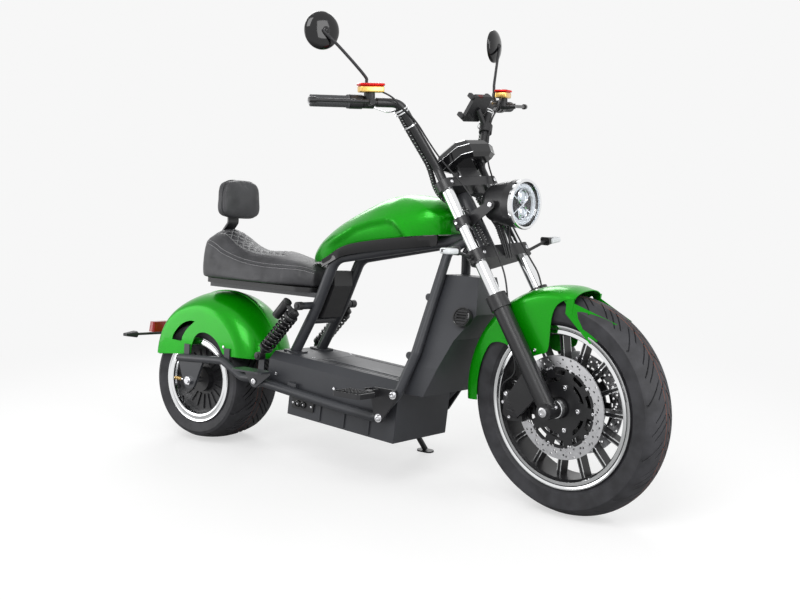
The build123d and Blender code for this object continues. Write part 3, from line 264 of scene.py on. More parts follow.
NODE_MATERIALS = {
    "rear_rim": chrome, "hub_motor": cast_black, "rear_axle": zinc, "front_rim": satin_black,
    "brake_discs": disc_steel, "front_axle": zinc, "fork_sliders": satin_black, "stanchions": chrome,
    "lower_clamp": satin_black, "upper_clamp": satin_black, "main_frame": frame_grey,
    "swing_arm": frame_grey, "shocks": satin_black, "rear_fender": green, "front_fender": green,
    "tail_bracket": satin_black, "tail_light": red_lens, "rear_signals": moulded, "deck_case": case_grey,
    "deck_lid": case_grey, "battery_case": case_grey, "battery_block": moulded, "socket_panel": moulded,
    "leg_shield": frame_grey, "horn": moulded, "tank_cover": green, "tank_trim": gloss_black,
    "controller_box": moulded, "seat_pan": moulded, "backrest_bracket": satin_black,
    "peg_brackets": anodised_pegs, "peg_left": anodised_pegs, "peg_right": anodised_pegs,
    "passenger_steps": frame_grey, "side_stand": satin_black, "calipers": satin_black,
    "headlight_bowl": satin_black, "headlight_lens": clear_lens, "headlight_bezel": chrome,
    "headlight_bracket": satin_black, "front_signals": satin_black, "dash": gloss_black,
    "handlebar": satin_black, "grips": grip_rubber, "control_pods": moulded, "reservoirs": gold,
    "reservoir_caps": red_anodised, "levers": satin_black, "mirrors": gloss_black,
    "phone_holder": moulded, "front_tyre": tyre_front, "rear_tyre": tyre_rear,
    "seat_pad": seat_leather, "backrest_pad": seat_leather,
}
for name, material in NODE_MATERIALS.items():
    node = frame["nodes"][name]
    node.data.materials.clear()
    node.data.materials.append(material)


# Pieces
def add(name, mesh, place, material, body, smooth=40):
    """Put a mesh in the scene as a piece of one body."""
    piece = bpy.data.objects.new(name, mesh)
    bpy.context.scene.collection.objects.link(piece)
    piece.matrix_world = place
    mesh.materials.append(material)
    if smooth:
        mesh.polygons.foreach_set("use_smooth", [True] * len(mesh.polygons))
        mesh.set_sharp_from_angle(angle=radians(smooth))
    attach(piece, body)
    return piece


def ring_faces(rows, size):
    """Faces between rows of points, each row closed on itself."""
    faces = []
    for row in range(rows - 1):
        for index in range(size):
            a, b = row * size + index, row * size + (index + 1) % size
            faces.append([a, b, b + size, a + size])
    return faces


def mesh_from(name, points, faces):
    """Mesh in metres from points in millimetres."""
    mesh = bpy.data.meshes.new(name)
    mesh.from_pydata([Vector(point) * METRES for point in points], [], faces)
    mesh.update()
    return mesh


def joined(name, place, parts, material, body, smooth=40):
    """One piece from several lists of points and faces."""
    points, faces = [], []
    for part_points, part_faces in parts:
        faces += [[len(points) + index for index in face] for face in part_faces]
        points += part_points
    return add(name, mesh_from(name, points, faces), place, material, body, smooth)


def on_chassis(name, parts, material, smooth=40):
    """Piece that stands with the chassis, from parts in the vehicle frame."""
    return joined(name, PARKED, parts, material, "chassis", smooth)


def on_fork(name, parts, material, smooth=40):
    """Piece that turns with the steering, from parts in the unturned vehicle frame."""
    return joined(name, TURNED, parts, material, "steering", smooth)


def lathe(profile, segments=64, closed=True):
    """Points and faces of a profile of (along, radius) turned about local Z."""
    points, faces = [], []
    rows = len(profile)
    for step in range(segments):
        angle = 2 * pi * step / segments
        points += [Vector((radius * cos(angle), radius * sin(angle), along)) for along, radius in profile]
    for step in range(segments):
        here, there = step * rows, (step + 1) % segments * rows
        for row in range(rows if closed else rows - 1):
            after = (row + 1) % rows
            faces.append([here + row, there + row, there + after, here + after])
    return points, faces


def moved(part, place):
    """Place points of a part by a matrix."""
    return [place @ Vector(point) for point in part[0]], part[1]


def facing(origin, direction, twist=0.0):
    """Matrix in millimetres at a point, its local Z along a direction."""
    turn = Vector(direction).to_track_quat("Z", "Y").to_matrix().to_4x4()
    return Matrix.Translation(Vector(origin)) @ turn @ Matrix.Rotation(twist, 4, "Z")


def hex_bolt(origin, direction, size=7, height=6):
    """Socket-head bolt: a round head with a chamfer and a hexagon socket."""
    head = lathe(
        [(0, 0.01), (0, size), (height * 0.8, size), (height, size * 0.82), (height, size * 0.5),
         (height * 0.5, size * 0.48), (height * 0.5, 0.01)],
        18, closed=False,
    )
    return moved(head, facing(origin, direction))


def tube_along(points, radius, sides=10):
    """Round tube through points, in millimetres."""
    points = [Vector(point) for point in points]
    out = []
    normal = None
    for index, point in enumerate(points):
        before, after = points[max(index - 1, 0)], points[min(index + 1, len(points) - 1)]
        tangent = (after - before).normalized()
        if normal is None:
            normal = tangent.orthogonal().normalized()
        normal = (normal - tangent * normal.dot(tangent)).normalized()
        other = tangent.cross(normal)
        for side in range(sides):
            angle = 2 * pi * side / sides
            out.append(point + (normal * cos(angle) + other * sin(angle)) * radius)
    faces = ring_faces(len(points), sides)
    return out, faces + [list(range(sides))[::-1], [len(out) - sides + side for side in range(sides)]]


def smooth_run(points, steps=8):
    """Catmull-Rom run through points."""
    points = [Vector(point) for point in points]
    padded = [points[0] * 2 - points[1], *points, points[-1] * 2 - points[-2]]
    run = []
    for index in range(1, len(padded) - 2):
        a, b, c, d = padded[index - 1:index + 3]
        for step in range(steps):
            t = step / steps
            run.append(
                (b * 2 + (c - a) * t + (a * 2 - b * 5 + c * 4 - d) * t * t + (b * 3 - a - c * 3 + d) * t ** 3) * 0.5
            )
    return run + [points[-1]]


def plate(outline, thickness):
    """Flat plate with its outline in local XY, from z 0 up."""
    count = len(outline)
    points = [Vector((x, y, z)) for z in (0, thickness) for x, y in outline]
    faces = [list(range(count))[::-1], list(range(count, 2 * count))]
    for index in range(count):
        after = (index + 1) % count
        faces.append([index, after, count + after, count + index])
    return points, faces


def taken(shape):
    """Points and faces of a bmesh, which is then freed."""
    part = [vertex.co.copy() for vertex in shape.verts], [[v.index for v in face.verts] for face in shape.faces]
    shape.free()
    return part


def rounded_box(size, radius, place=Matrix.Identity(4), segments=3):
    """Box with rounded edges, centred, placed by a matrix in millimetres."""
    shape = bmesh.new()
    bmesh.ops.create_cube(shape, size=1, matrix=Matrix.Diagonal((*size, 1)))
    bmesh.ops.bevel(shape, geom=shape.edges[:], offset=radius, segments=segments, profile=0.5, affect="EDGES")
    return moved(taken(shape), place)


def on_axle(centre):
    """Matrix in millimetres with local Z along an axle, to the left."""
    return Matrix.Translation(centre) @ Matrix.Rotation(-pi / 2, 4, "X")


def at(frame_matrix, centre=(0, 0, 0), axle=False):
    """Matrix in metres of a place in a vehicle frame."""
    local = Matrix.Translation(Vector(centre) * METRES)
    if axle:
        local = local @ Matrix.Rotation(-pi / 2, 4, "X")
    return frame_matrix @ local


# Tyres: the crown is cut with slanted grooves, the right side half a pitch on from the left
def tyre_piece(name, place, rows, sectors, grooves, body, material, node):
    """Turned tyre whose columns follow the slanted grooves. A row is (along, radius, slant, is_tread)."""
    columns = sorted({0.0, 0.5} | {edge for groove in grooves for edge in groove["edges"]})
    points, faces = [], []
    for sector in range(sectors):
        for column in columns:
            for along, radius, slant, reach in rows:
                depth = 0.0
                for groove in grooves:
                    _, start, end, _ = groove["edges"]
                    low, high = groove["span"]
                    if groove["side"] * along >= 0 and low <= reach <= high and start <= column <= end:
                        depth = groove["depth"]
                angle = 2 * pi * (sector + column + slant) / sectors
                points.append(Vector((cos(angle), sin(angle), 0)) * (radius - depth) + Vector((0, 0, along)))
    count, rings = len(rows), sectors * len(columns)
    for ring in range(rings):
        here, there = ring * count, (ring + 1) % rings * count
        for row in range(count):
            after = (row + 1) % count
            faces.append([here + row, there + row, there + after, here + after])
    piece = joined(name, place, [(points, faces)], material, body, smooth=35)
    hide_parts(node)
    return piece


def crown(half, radius, drop, edge_half, lip, seat, bead, slope, marks):
    """Rows over a tyre from its right bead to its left, with extra rows where grooves start and end."""
    reaches = sorted({0.0, 1.0} | set(marks) | {mark + 0.02 for mark in marks})
    tread = []
    for reach in reaches:
        along = edge_half * reach
        tread.append((along, radius - drop * reach * reach, slope * reach, reach))
    wall = [
        (half - 3, radius - drop - (half - edge_half) * 0.42), (half, radius - drop - (half - edge_half) * 0.95),
        (half - 1, (radius - drop + lip) / 2 + 6), (half - 5, lip + 12), (bead + 1, lip + 3), (bead, lip),
        (bead, seat),
    ]
    side = [(along, r, slope, 2.0) for along, r in wall]
    left_side = tread + side
    right_side = [(-along, r, slant, reach) for along, r, slant, reach in left_side[1:]]
    return right_side[::-1] + left_side


front_wheel = at(TURNED, FRONT_AXLE, axle=True)
rear_wheel = at(PARKED, REAR_AXLE, axle=True)


# Where a groove starts in its sector, and how far from the crown it runs, as shares
SLASHES = ((0.06, 0.1, 0.72), (0.22, 0.2, 0.86), (0.38, 0.1, 0.72), (0.62, 0.3, 1.0), (0.8, 0.06, 0.5))
GROOVE_WALL = 0.008


def slashes(side, shift, wide, depth):
    """Three parallel slashes and one long hook in each sector of one side."""
    rows = []
    for start, low, high in SLASHES:
        first = (start + shift) % 1
        if first + wide + 0.02 >= 1:
            first -= wide + 0.03
        rows.append({"side": side, "edges": (first, first + GROOVE_WALL, first + wide, first + wide + GROOVE_WALL),
                     "span": (low, high), "depth": depth})
    return rows


front_rows = crown(63.5, 324.6, 22, 55, 241, 216.5, 46, 0.5, (0.06, 0.1, 0.2, 0.3, 0.5, 0.72, 0.86))
tyre_piece("tread_front", front_wheel, front_rows, 12, slashes(1, 0, 0.034, 5) + slashes(-1, 0.5, 0.034, 5),
           "front_wheel", tyre_front, "front_tyre")
rear_rows = crown(107.5, 216.6, 11, 88, 153, 127.5, 94, 0.6, (0.06, 0.1, 0.2, 0.3, 0.5, 0.72, 0.86))
tyre_piece("tread_rear", rear_wheel, rear_rows, 9, slashes(1, 0, 0.04, 5) + slashes(-1, 0.5, 0.04, 5),
           "rear_wheel", tyre_rear, "rear_tyre")

# Front wheel: chrome lips, polished spoke edges, perforated discs and bolts
lip_profile = [
    (50.5, 216), (53.2, 217), (53.0, 224), (51.6, 228), (52.4, 232), (54.6, 235), (54.4, 239.5), (52, 240.6),
    (50.4, 238),
]
joined(
    "front_lips", front_wheel, [lathe([(side * a, r) for a, r in lip_profile], 128) for side in (1, -1)],
    chrome, "front_wheel",
)
rear_lip = [
    (88, 124), (99, 126), (100.8, 131), (100.4, 138), (98.6, 143), (101.2, 147), (101.6, 151.5), (99, 152.6), (90, 150),
]
joined(
    "rear_lips", rear_wheel, [lathe([(side * a, r) for a, r in rear_lip], 96) for side in (1, -1)],
    chrome, "rear_wheel",
)
SPOKES = 15
spokes, edges = [], []
for spoke in range(SPOKES):
    turn = Matrix.Rotation(2 * pi * spoke / SPOKES, 4, "Z")
    body = [(31, -5.6), (213.5, -6.6), (213.5, 6.6), (31, 5.6)]
    spokes.append(moved(plate(body, 33), turn @ Matrix.Translation((0, 0, -16.5))))
    for side in (1, -1):
        for edge in (1, -1):
            outline = [(60, edge * 3.9), (60, edge * 6.3), (213, edge * 7.1), (213, edge * 4.4)]
            base = Matrix.Translation((0, 0, 16.6 if side == 1 else -18.2))
            edges.append(moved(plate(outline, 1.6), turn @ base))
joined("front_spokes", front_wheel, spokes, satin_black, "front_wheel", smooth=0)
joined("spoke_edges", front_wheel, edges, chrome, "front_wheel", smooth=0)


def filled(name, outlines, thickness, place, material, body):
    """Flat piece with holes: the first outline is its edge and the others are cut out, in millimetres."""
    curve = bpy.data.curves.new(name, "CURVE")
    curve.dimensions = "2D"
    curve.fill_mode = "BOTH"
    curve.extrude = thickness * 0.0005
    for outline in outlines:
        spline = curve.splines.new("POLY")
        spline.points.add(len(outline) - 1)
        for point, (x, y) in zip(spline.points, outline):
            point.co = (x * METRES, y * METRES, 0, 1)
        spline.use_cyclic_u = True
    source = bpy.data.objects.new(name + "_outline", curve)
    bpy.context.scene.collection.objects.link(source)
    bpy.context.view_layer.update()
    mesh = bpy.data.meshes.new_from_object(source.evaluated_get(bpy.context.evaluated_depsgraph_get()))
    bpy.data.objects.remove(source)
    bpy.data.curves.remove(curve)
    mesh.materials.clear()
    return add(name, mesh, place, material, body, smooth=0)


def circle(radius, count=96, x=0.0, y=0.0):
    """Outline of a circle."""
    return [(x + radius * cos(2 * pi * i / count), y + radius * sin(2 * pi * i / count)) for i in range(count)]


def scalloped(outer, inner, tabs, count=200):
    """Round outline that steps in at evenly spaced tabs."""
    outline = []
    for index in range(count):
        angle = 2 * pi * index / count
        wave = 0.5 + 0.5 * cos(angle * tabs)
        blend = min(max((wave - 0.35) / 0.3, 0), 1)
        radius = outer + (inner - outer) * blend * blend * (3 - 2 * blend)
        outline.append((radius * cos(angle), radius * sin(angle)))
    return outline


holes = []
for index in range(50):
    angle = 2 * pi * index / 50
    radius = (124, 133, 142)[index % 3]
    holes.append(circle(3.4, 10, radius * cos(angle), radius * sin(angle)))
    second = 2 * pi * (index + 0.5) / 50
    radius = (146, 129, 138)[index % 3]
    if index % 2:
        holes.append(circle(3.4, 10, radius * cos(second), radius * sin(second)))
windows = []
for index in range(10):
    start = 2 * pi * (index + 0.5) / 10
    ring = []
    for step in range(9):
        angle = start + radians(-10 + 20 * step / 8)
        ring.append((111 * cos(angle), 111 * sin(angle)))
    for step in range(9):
        angle = start + radians(9 - 18 * step / 8)
        ring.append((96 * cos(angle), 96 * sin(angle)))
    windows.append(ring)
for index in range(5):
    start = 2 * pi * (index + 0.5) / 5
    ring = []
    for step in range(11):
        angle = start + radians(-20 + 40 * step / 10)
        ring.append((88 * cos(angle), 88 * sin(angle)))
    for step in range(11):
        angle = start + radians(17 - 34 * step / 10)
        ring.append((76 * cos(angle), 76 * sin(angle)))
    windows.append(ring)
for label, side in (("left", 1), ("right", -1)):
    offset = front_wheel @ Matrix.Translation((0, 0, side * 0.047))
    ring = filled(
        f"disc_ring_{label}", [circle(152, 160), scalloped(113, 119, 10), *holes], 4, offset,
        disc_steel, "front_wheel",
    )
    filled(
        f"disc_carrier_{label}", [scalloped(119.5, 112.5, 10), circle(33, 60), *windows], 5.4, offset,
        satin_black, "front_wheel",
    )
    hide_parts("brake_discs")
bolts = []
for side in (1, -1):
    for index in range(5):
        angle = 2 * pi * index / 5
        bolts.append(hex_bolt((66 * cos(angle), 66 * sin(angle), side * 49.4), (0, 0, side), 7, 5))
    for index in range(10):
        angle = 2 * pi * index / 10
        bolts.append(hex_bolt((115.5 * cos(angle), 115.5 * sin(angle), side * 49), (0, 0, side), 4.5, 2))
joined("disc_bolts", front_wheel, bolts, zinc, "front_wheel")
hub = []
for side in (1, -1):
    hub.append(lathe([(side * 62, 29), (side * 72.5, 27), (side * 73.5, 25), (side * 72.5, 22.4), (side * 62, 23)], 48))
joined("hub_collars", front_wheel, hub, chrome, "front_wheel")
axle_caps = []
cap_profile = [(126, 14), (131, 14), (132, 12), (132, 7), (128, 6.6), (128, 0.01)]
for side in (1, -1):
    cap = lathe([(side * a, r) for a, r in cap_profile], 24, False)
    axle_caps.append(moved(cap, Matrix.Rotation(-pi / 2, 4, "X")))
    axle_caps.append(hex_bolt(fork_point(-2, side * 100, 27) - FRONT_AXLE, FORK_AHEAD, 5.5, 5))
joined("axle_caps", at(TURNED, FRONT_AXLE), axle_caps, zinc, "steering")

# Tank: a crowned shell with a crease over each knee recess, above a gloss skirt outside the frame tubes
def along_run(x, stations):
    """Smooth value at x through (x, value) stations."""
    xs = [station[0] for station in stations]
    x = min(max(x, xs[0]), xs[-1])
    index = max(i for i in range(len(xs) - 1) if xs[i] <= x)
    (xa, a), (xb, b) = stations[index], stations[index + 1]
    before = stations[max(index - 1, 0)]
    after = stations[min(index + 2, len(stations) - 1)]
    slope_a = (b - before[1]) / (xb - before[0])
    slope_b = (after[1] - a) / (after[0] - xa)
    t, span = (x - xa) / (xb - xa), xb - xa
    return (
        (2 * t ** 3 - 3 * t ** 2 + 1) * a + (t ** 3 - 2 * t ** 2 + t) * span * slope_a
        + (-2 * t ** 3 + 3 * t ** 2) * b + (t ** 3 - t ** 2) * span * slope_b
    )


TANK_EDGE = [(452, 671), (500, 677), (548, 690), (603, 722), (664, 744), (760, 762), (902, 782), (1012, 795)]
TANK_MIDDLE = [(452, 676), (482, 694), (532, 720), (620, 757), (750, 794), (870, 816), (960, 828), (1012, 829)]
TANK_TOP = [(452, 684), (482, 730), (532, 774), (620, 829), (750, 893), (800, 908), (870, 913), (960, 900), (1012, 866)]
TANK_HALF = [(452, 20), (482, 52), (532, 82), (620, 112), (750, 127), (870, 130), (930, 125), (968, 113), (992, 97),
             (1006, 78), (1014, 52)]
SKIRT_FOOT = [(500, 655), (535, 657), (560, 668), (610, 694), (647, 706), (755, 725), (898, 744), (1012, 762)]
KNEE_CREASE = [(540, 735), (590, 752), (639, 775), (691, 803), (753, 822), (819, 835), (854, 830),
               (875, 813), (900, 780)]
TOP_CREASE = [(800, 886), (843, 899), (881, 896), (932, 882), (994, 848), (1030, 826)]


def near_line(x, z, line):
    """Distance from a point to a run of points, and which side it is on."""
    best, side = 1e9, 0
    for (xa, za), (xb, zb) in zip(line, line[1:]):
        along = ((x - xa) * (xb - xa) + (z - za) * (zb - za)) / ((xb - xa) ** 2 + (zb - za) ** 2)
        along = min(max(along, 0), 1)
        dx, dz = x - xa - along * (xb - xa), z - za - along * (zb - za)
        gap = sqrt(dx * dx + dz * dz)
        if gap < best:
            best, side = gap, (xb - xa) * dz - (zb - za) * dx
    return best, side


def smooth_step(value, low, high):
    """0 below low, 1 above high, smooth between."""
    t = min(max((value - low) / (high - low), 0), 1)
    return t * t * (3 - 2 * t)


def tank_point(x, turn):
    """Point on the tank's left half: turn goes from its edge (0) over the side to the ridge (1)."""
    edge, middle = along_run(x, TANK_EDGE), along_run(x, TANK_MIDDLE)
    top, half = along_run(x, TANK_TOP), along_run(x, TANK_HALF)
    if turn < 0.2:
        share = turn / 0.2
        y, z = half - (1 - share) ** 1.6 * 9, edge + (middle - edge) * share
    else:
        angle = (turn - 0.2) / 0.8 * pi / 2
        y, z = half * cos(angle) ** 0.94, middle + (top - middle) * sin(angle) ** 0.96
    gap, side = near_line(x, z, KNEE_CREASE)
    body = smooth_step(x, 520, 640) * smooth_step(y, half * 0.2, half * 0.6)
    y += 4.5 * body * max(0, 1 - gap / 26) ** 1.5
    if side < 0 and x < 905:
        y -= 8 * body * smooth_step(gap, 0, 22)
    gap, side = near_line(x, z, TOP_CREASE)
    lift = 5 * smooth_step(x, 800, 850) * smooth_step(y, 20, 44) * max(0, 1 - gap / 30) ** 1.4
    return Vector((x, y + lift * 0.7, z + lift * 0.7))


tank_columns = [452 + 540 * (step / 110) ** 1.1 for step in range(110)]
tank_columns += [992, 996, 1000, 1003, 1006, 1008.5, 1010.5, 1012, 1013, 1014]
TURNS = 40
points = []
for x in tank_columns:
    arc = [tank_point(x, turn / TURNS) for turn in range(TURNS + 1)]
    inner = [Vector((x, arc[0].y - 8, arc[0].z + 1))]
    half_row = inner + arc
    points += half_row + [Vector((p.x, -p.y, p.z)) for p in half_row[-2::-1]]
row = 2 * (TURNS + 2) - 1
faces = ring_faces(len(tank_columns), row)
faces.append(list(range(row)))
faces.append([(len(tank_columns) - 1) * row + index for index in range(row)][::-1])
tank_shell = on_chassis("tank_shell", [(points, faces)], green, smooth=32)
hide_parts("tank_cover")

skirt_parts = []
skirt_columns = [545 + 449 * step / 70 for step in range(71)]
for side in (1, -1):
    points, faces = [], []
    for x in skirt_columns:
        edge, foot, half = along_run(x, TANK_EDGE), along_run(x, SKIRT_FOOT), along_run(x, TANK_HALF)
        wide = half - 12
        low = max(wide - 13, 88)
        wide = max(wide, low + 3)
        line = [(low, foot + 2), (low + 2, foot), (low + 5, foot + 1.5), (wide - 1, edge - 16), (wide + 2, edge - 3),
                (wide + 1, edge - 0.6), (wide - 4, edge - 0.6), (wide - 6, edge - 14)]
        points += [Vector((x, side * y, z)) for y, z in line]
    for column in range(len(skirt_columns) - 1):
        for turn in range(8):
            a, b = column * 8 + turn, column * 8 + (turn + 1) % 8
            faces.append([a, b, b + 8, a + 8] if side == 1 else [a, a + 8, b + 8, b])
    faces += [list(range(8)), [len(points) - 8 + index for index in range(8)][::-1]]
    skirt_parts.append((points, faces))
tank_skirt = on_chassis("tank_skirt", skirt_parts, gloss_black, smooth=35)
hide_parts("tank_trim")

# Rear shocks: helical springs on dampers, each with a canister beside it
SHOCK_TOP = Vector((498, 140, 530))
SHOCK_FOOT = Vector((332, 140, 345))
shock_up = (SHOCK_TOP - SHOCK_FOOT).normalized()
shock_back = Vector((-shock_up.z, 0, shock_up.x))
COIL_TURNS, COIL_FROM, COIL_LENGTH, COIL_RADIUS, COIL_WIRE = 8.4, 50, 143, 20.5, 4.3
springs, dampers, shafts, canisters, rings = [], [], [], [], []
for side in (1, -1):
    foot = Vector((SHOCK_FOOT.x, side * SHOCK_FOOT.y, SHOCK_FOOT.z))
    leg = facing(foot, shock_up)
    helix = []
    for step in range(241):
        turn = step / 240
        angle = 2 * pi * COIL_TURNS * turn
        rise = COIL_FROM + COIL_LENGTH * (turn + 0.012 * sin(2 * pi * turn))
        helix.append(Vector((COIL_RADIUS * cos(angle), COIL_RADIUS * sin(angle), rise)))
    springs.append(moved(tube_along(helix, COIL_WIRE, 10), leg))
    dampers.append(moved(lathe([
        (20, 0.01), (20, 9), (26, 13), (38, 14), (40, 23.5), (47, 24.5), (49, 22), (49, 14), (58, 13.5), (120, 13.5),
        (122, 12), (184, 12), (190, 15), (192, 24), (200, 24.5), (203, 22), (204, 15.5), (222, 15), (227, 8),
        (234, 0.01),
    ], 40, False), leg))
    for level in (206, 211, 216):
        rings.append(moved(lathe([(level, 15), (level + 1, 18.5), (level + 3, 18.5), (level + 4, 15)], 32), leg))
    for eye in (0, (SHOCK_TOP - SHOCK_FOOT).length):
        centre = foot + shock_up * eye
        eye_ring = lathe([(-11, 14), (-12, 12.5), (-12, 8), (12, 8), (12, 12.5), (11, 14)], 32)
        shafts.append(moved(eye_ring, on_axle(centre)))
        shafts.append(hex_bolt(centre + Vector((0, side * 12.5, 0)), (0, side, 0), 8.5, 4.5 if eye else 4))
    can_foot = facing(foot + shock_up * 150 + shock_back * 45, shock_up)
    canisters.append(moved(lathe([
        (-1, 0.01), (-1, 11), (1.5, 15.5), (4, 16), (6, 14.8), (8, 16), (66, 16), (68, 14.8), (70, 16), (74, 15.5),
        (76, 12), (76, 0.01),
    ], 36, False), can_foot))
    canisters.append(tube_along([foot + shock_up * 210 + shock_back * 44, foot + shock_up * 213 + shock_back * 30,
                                 foot + shock_up * 214], 8.5, 16))
spring_piece = on_chassis("shock_springs", springs, gloss_black)
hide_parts("shocks")
on_chassis("shock_dampers", dampers, satin_black)
on_chassis("shock_eyes", shafts, cast_black)
on_chassis("shock_canisters", canisters, satin_black)
on_chassis("shock_preload_rings", rings, cast_black)

# Headlight: black housing behind a clear dome, a white running ring and two lamps parted by a chrome cross
lamp = at(TURNED, (1120, 0, 900)) @ Matrix.Rotation(pi / 2, 4, "Y")
glass_rows = [(138, 64.8), (140.6, 56), (143, 42), (144.8, 24), (145.6, 8), (145.8, 0.01)]
glass_back = [(along - 1.6, max(radius - 0.6, 0.01)) for along, radius in glass_rows[::-1]]
glass = joined("lamp_glass", lamp, [lathe(glass_rows + glass_back, 72)], clear_lens, "steering")
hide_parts("headlight_lens")
joined("lamp_housing", lamp, [
    lathe([(124.2, 0.01), (124.2, 65.4), (138, 65.4), (137, 63), (129, 61.5), (127, 60), (126, 46), (126, 0.01)],
          72, False),
], moulded, "steering")
joined("lamp_ring", lamp, [lathe([(127.5, 61), (133.5, 60.5), (135, 57), (134, 49), (131, 46.5), (127.5, 46)], 72)],
       lamp_white, "steering")
lamps, reflectors = [], []
for height, size in ((22, 19), (-24, 17)):
    place = Matrix.Translation((-height, 0, 0))
    dome = [(126, size), (130, size * 0.94), (134, size * 0.66), (136, size * 0.3), (136.5, 0.01)]
    cup = [(126, size + 5), (133, size + 4.5), (134.5, size + 2.5), (133, size + 0.6), (127, size + 0.2)]
    lamps.append(moved(lathe(dome, 40, False), place))
    reflectors.append(moved(lathe(cup, 40), place))
for angle in (0.62, pi - 0.62, pi + 0.62, -0.62):
    spoke_place = Matrix.Translation((0, 0, 128)) @ Matrix.Rotation(angle + pi / 2, 4, "Z")
    reflectors.append(rounded_box((36, 3.4, 5), 1, spoke_place @ Matrix.Translation((27, 0, 0))))
joined("lamp_projectors", lamp, lamps, mirror_glass, "steering")
joined("lamp_reflectors", lamp, reflectors, chrome, "steering")

# Mirrors: domed backs, glass and bent stems with lock nuts
BAR_KNEE = Vector((948, 206, 1196))
BAR_END = Vector((832, 458, 1201))
bar_out = (BAR_END - BAR_KNEE).normalized()
bar_front = Vector((bar_out.y, -bar_out.x, 0)).normalized()
BAR_LENGTH = (BAR_END - BAR_KNEE).length


def bar_point(along, ahead=0.0, up=0.0, side=1):
    """Point along the grip end of the bar from its knee, in the unturned vehicle frame."""
    point = BAR_KNEE + bar_out * along + bar_front * ahead + Vector((0, 0, up))
    return Vector((point.x, side * point.y, point.z))


mirror_backs, mirror_faces, stems, nuts = [], [], [], []
for side in (1, -1):
    toe = radians(17)
    look = Vector((-cos(toe), -side * sin(toe), 0))
    centre = Vector((816, side * 392, 1403))
    back = facing(centre, look * -1)
    mirror_backs.append(moved(lathe([
        (-6, 52.5), (-6.4, 54.4), (-4, 55), (0, 54.6), (4, 51), (8.5, 43), (12, 32), (14, 18), (14.6, 0.01),
    ], 64, False), back))
    boss = lathe([(10, 13), (17, 10), (20, 6), (20.5, 0.01)], 32, False)
    mirror_backs.append(moved(boss, back @ Matrix.Translation((6, 0, 0))))
    mirror_faces.append(moved(lathe([(-5.4, 0.01), (-5.4, 52.6), (-4.6, 52.8)], 64, False), back))
    foot = bar_point(100, -10, 18.5, side)
    socket = centre - look * 17
    bend = foot + Vector((0, 0, 52))
    run = smooth_run([foot, foot + Vector((0, 0, 40)), bend + (socket - foot - Vector((0, 0, 52))) * 0.06,
                      foot + (socket - foot) * 0.62 + Vector((0, 0, 20)), socket + Vector((0, 0, -6)), socket], 10)
    stems.append(tube_along(run, 4.6, 14))
    nuts.append(moved(lathe([(-2, 8.5), (7, 8.5), (9, 7), (9, 4.6), (-2, 4.6)], 6), facing(foot, (0, 0, 1))))
    nuts.append(moved(lathe([(12, 6.6), (22, 6.2), (26, 4.9), (12, 4.6)], 24), facing(foot, (0, 0, 1))))
mirror_piece = on_fork("mirror_backs", mirror_backs, gloss_black)
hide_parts("mirrors")
on_fork("mirror_faces", mirror_faces, mirror_glass)
on_fork("mirror_stems", stems, anodised_pegs)
on_fork("mirror_nuts", nuts, satin_black)

# Seat: a crowned pad puffed by cloth, with a quilted panel, double-stitched side seams and piping
SEAT_TOP = [(-8, 742), (6, 758), (30, 763), (60, 759), (120, 719), (200, 696), (280, 696), (330, 698), (440, 670),
            (494, 655)]
SEAT_SEAM = [(-8, 716), (30, 716), (60, 708), (100, 690), (200, 665), (300, 655), (400, 654), (450, 652), (494, 642)]
SEAT_WIDE = [(-8, 92), (10, 108), (40, 121), (150, 125), (290, 124), (390, 108), (450, 88), (494, 70)]
SEAT_FOOT = 589.5


def seat_row(x, shrink=0.0):
    """Half of the seat's cross-section: foot, side, seam and crown, as (y, z)."""
    top, seam, wide = along_run(x, SEAT_TOP) - shrink, along_run(x, SEAT_SEAM), along_run(x, SEAT_WIDE) - shrink
    row = [(0, SEAT_FOOT), (wide * 0.5, SEAT_FOOT), (wide - 9, SEAT_FOOT), (wide - 2, SEAT_FOOT + 5)]
    for step in range(1, 6):
        share = step / 6
        row.append((wide + 3 * sin(share * pi) - 8 * share ** 3, SEAT_FOOT + 5 + (seam - SEAT_FOOT - 5) * share))
    row.append((wide - 9, seam))
    for step in range(1, 9):
        share = step / 9
        lift = 1 - (1 - share) ** 1.7
        row.append(((wide - 9) * (1 - share), seam + (top - seam) * lift))
    row.append((0, top))
    return row


def seat_mesh(shrink):
    """Closed form of the seat in millimetres."""
    stations = [-8, 0, 10, 22, 36, 52, 70, 92, 116, 142, 170, 200, 232, 264, 296, 326, 356, 386, 414, 440, 464, 482,
                494]
    points, faces = [], []
    for x in stations:
        half = seat_row(x, shrink)
        points += [Vector((x, y, z)) for y, z in half] + [Vector((x, -y, z)) for y, z in half[-2:0:-1]]
    row = 2 * (len(half) - 1)
    for station in range(len(stations) - 1):
        for index in range(row):
            a, b = station * row + index, station * row + (index + 1) % row
            faces.append([a, a + row, b + row, b])
    faces += [list(range(row)), [len(points) - row + index for index in range(row)][::-1]]
    return points, faces


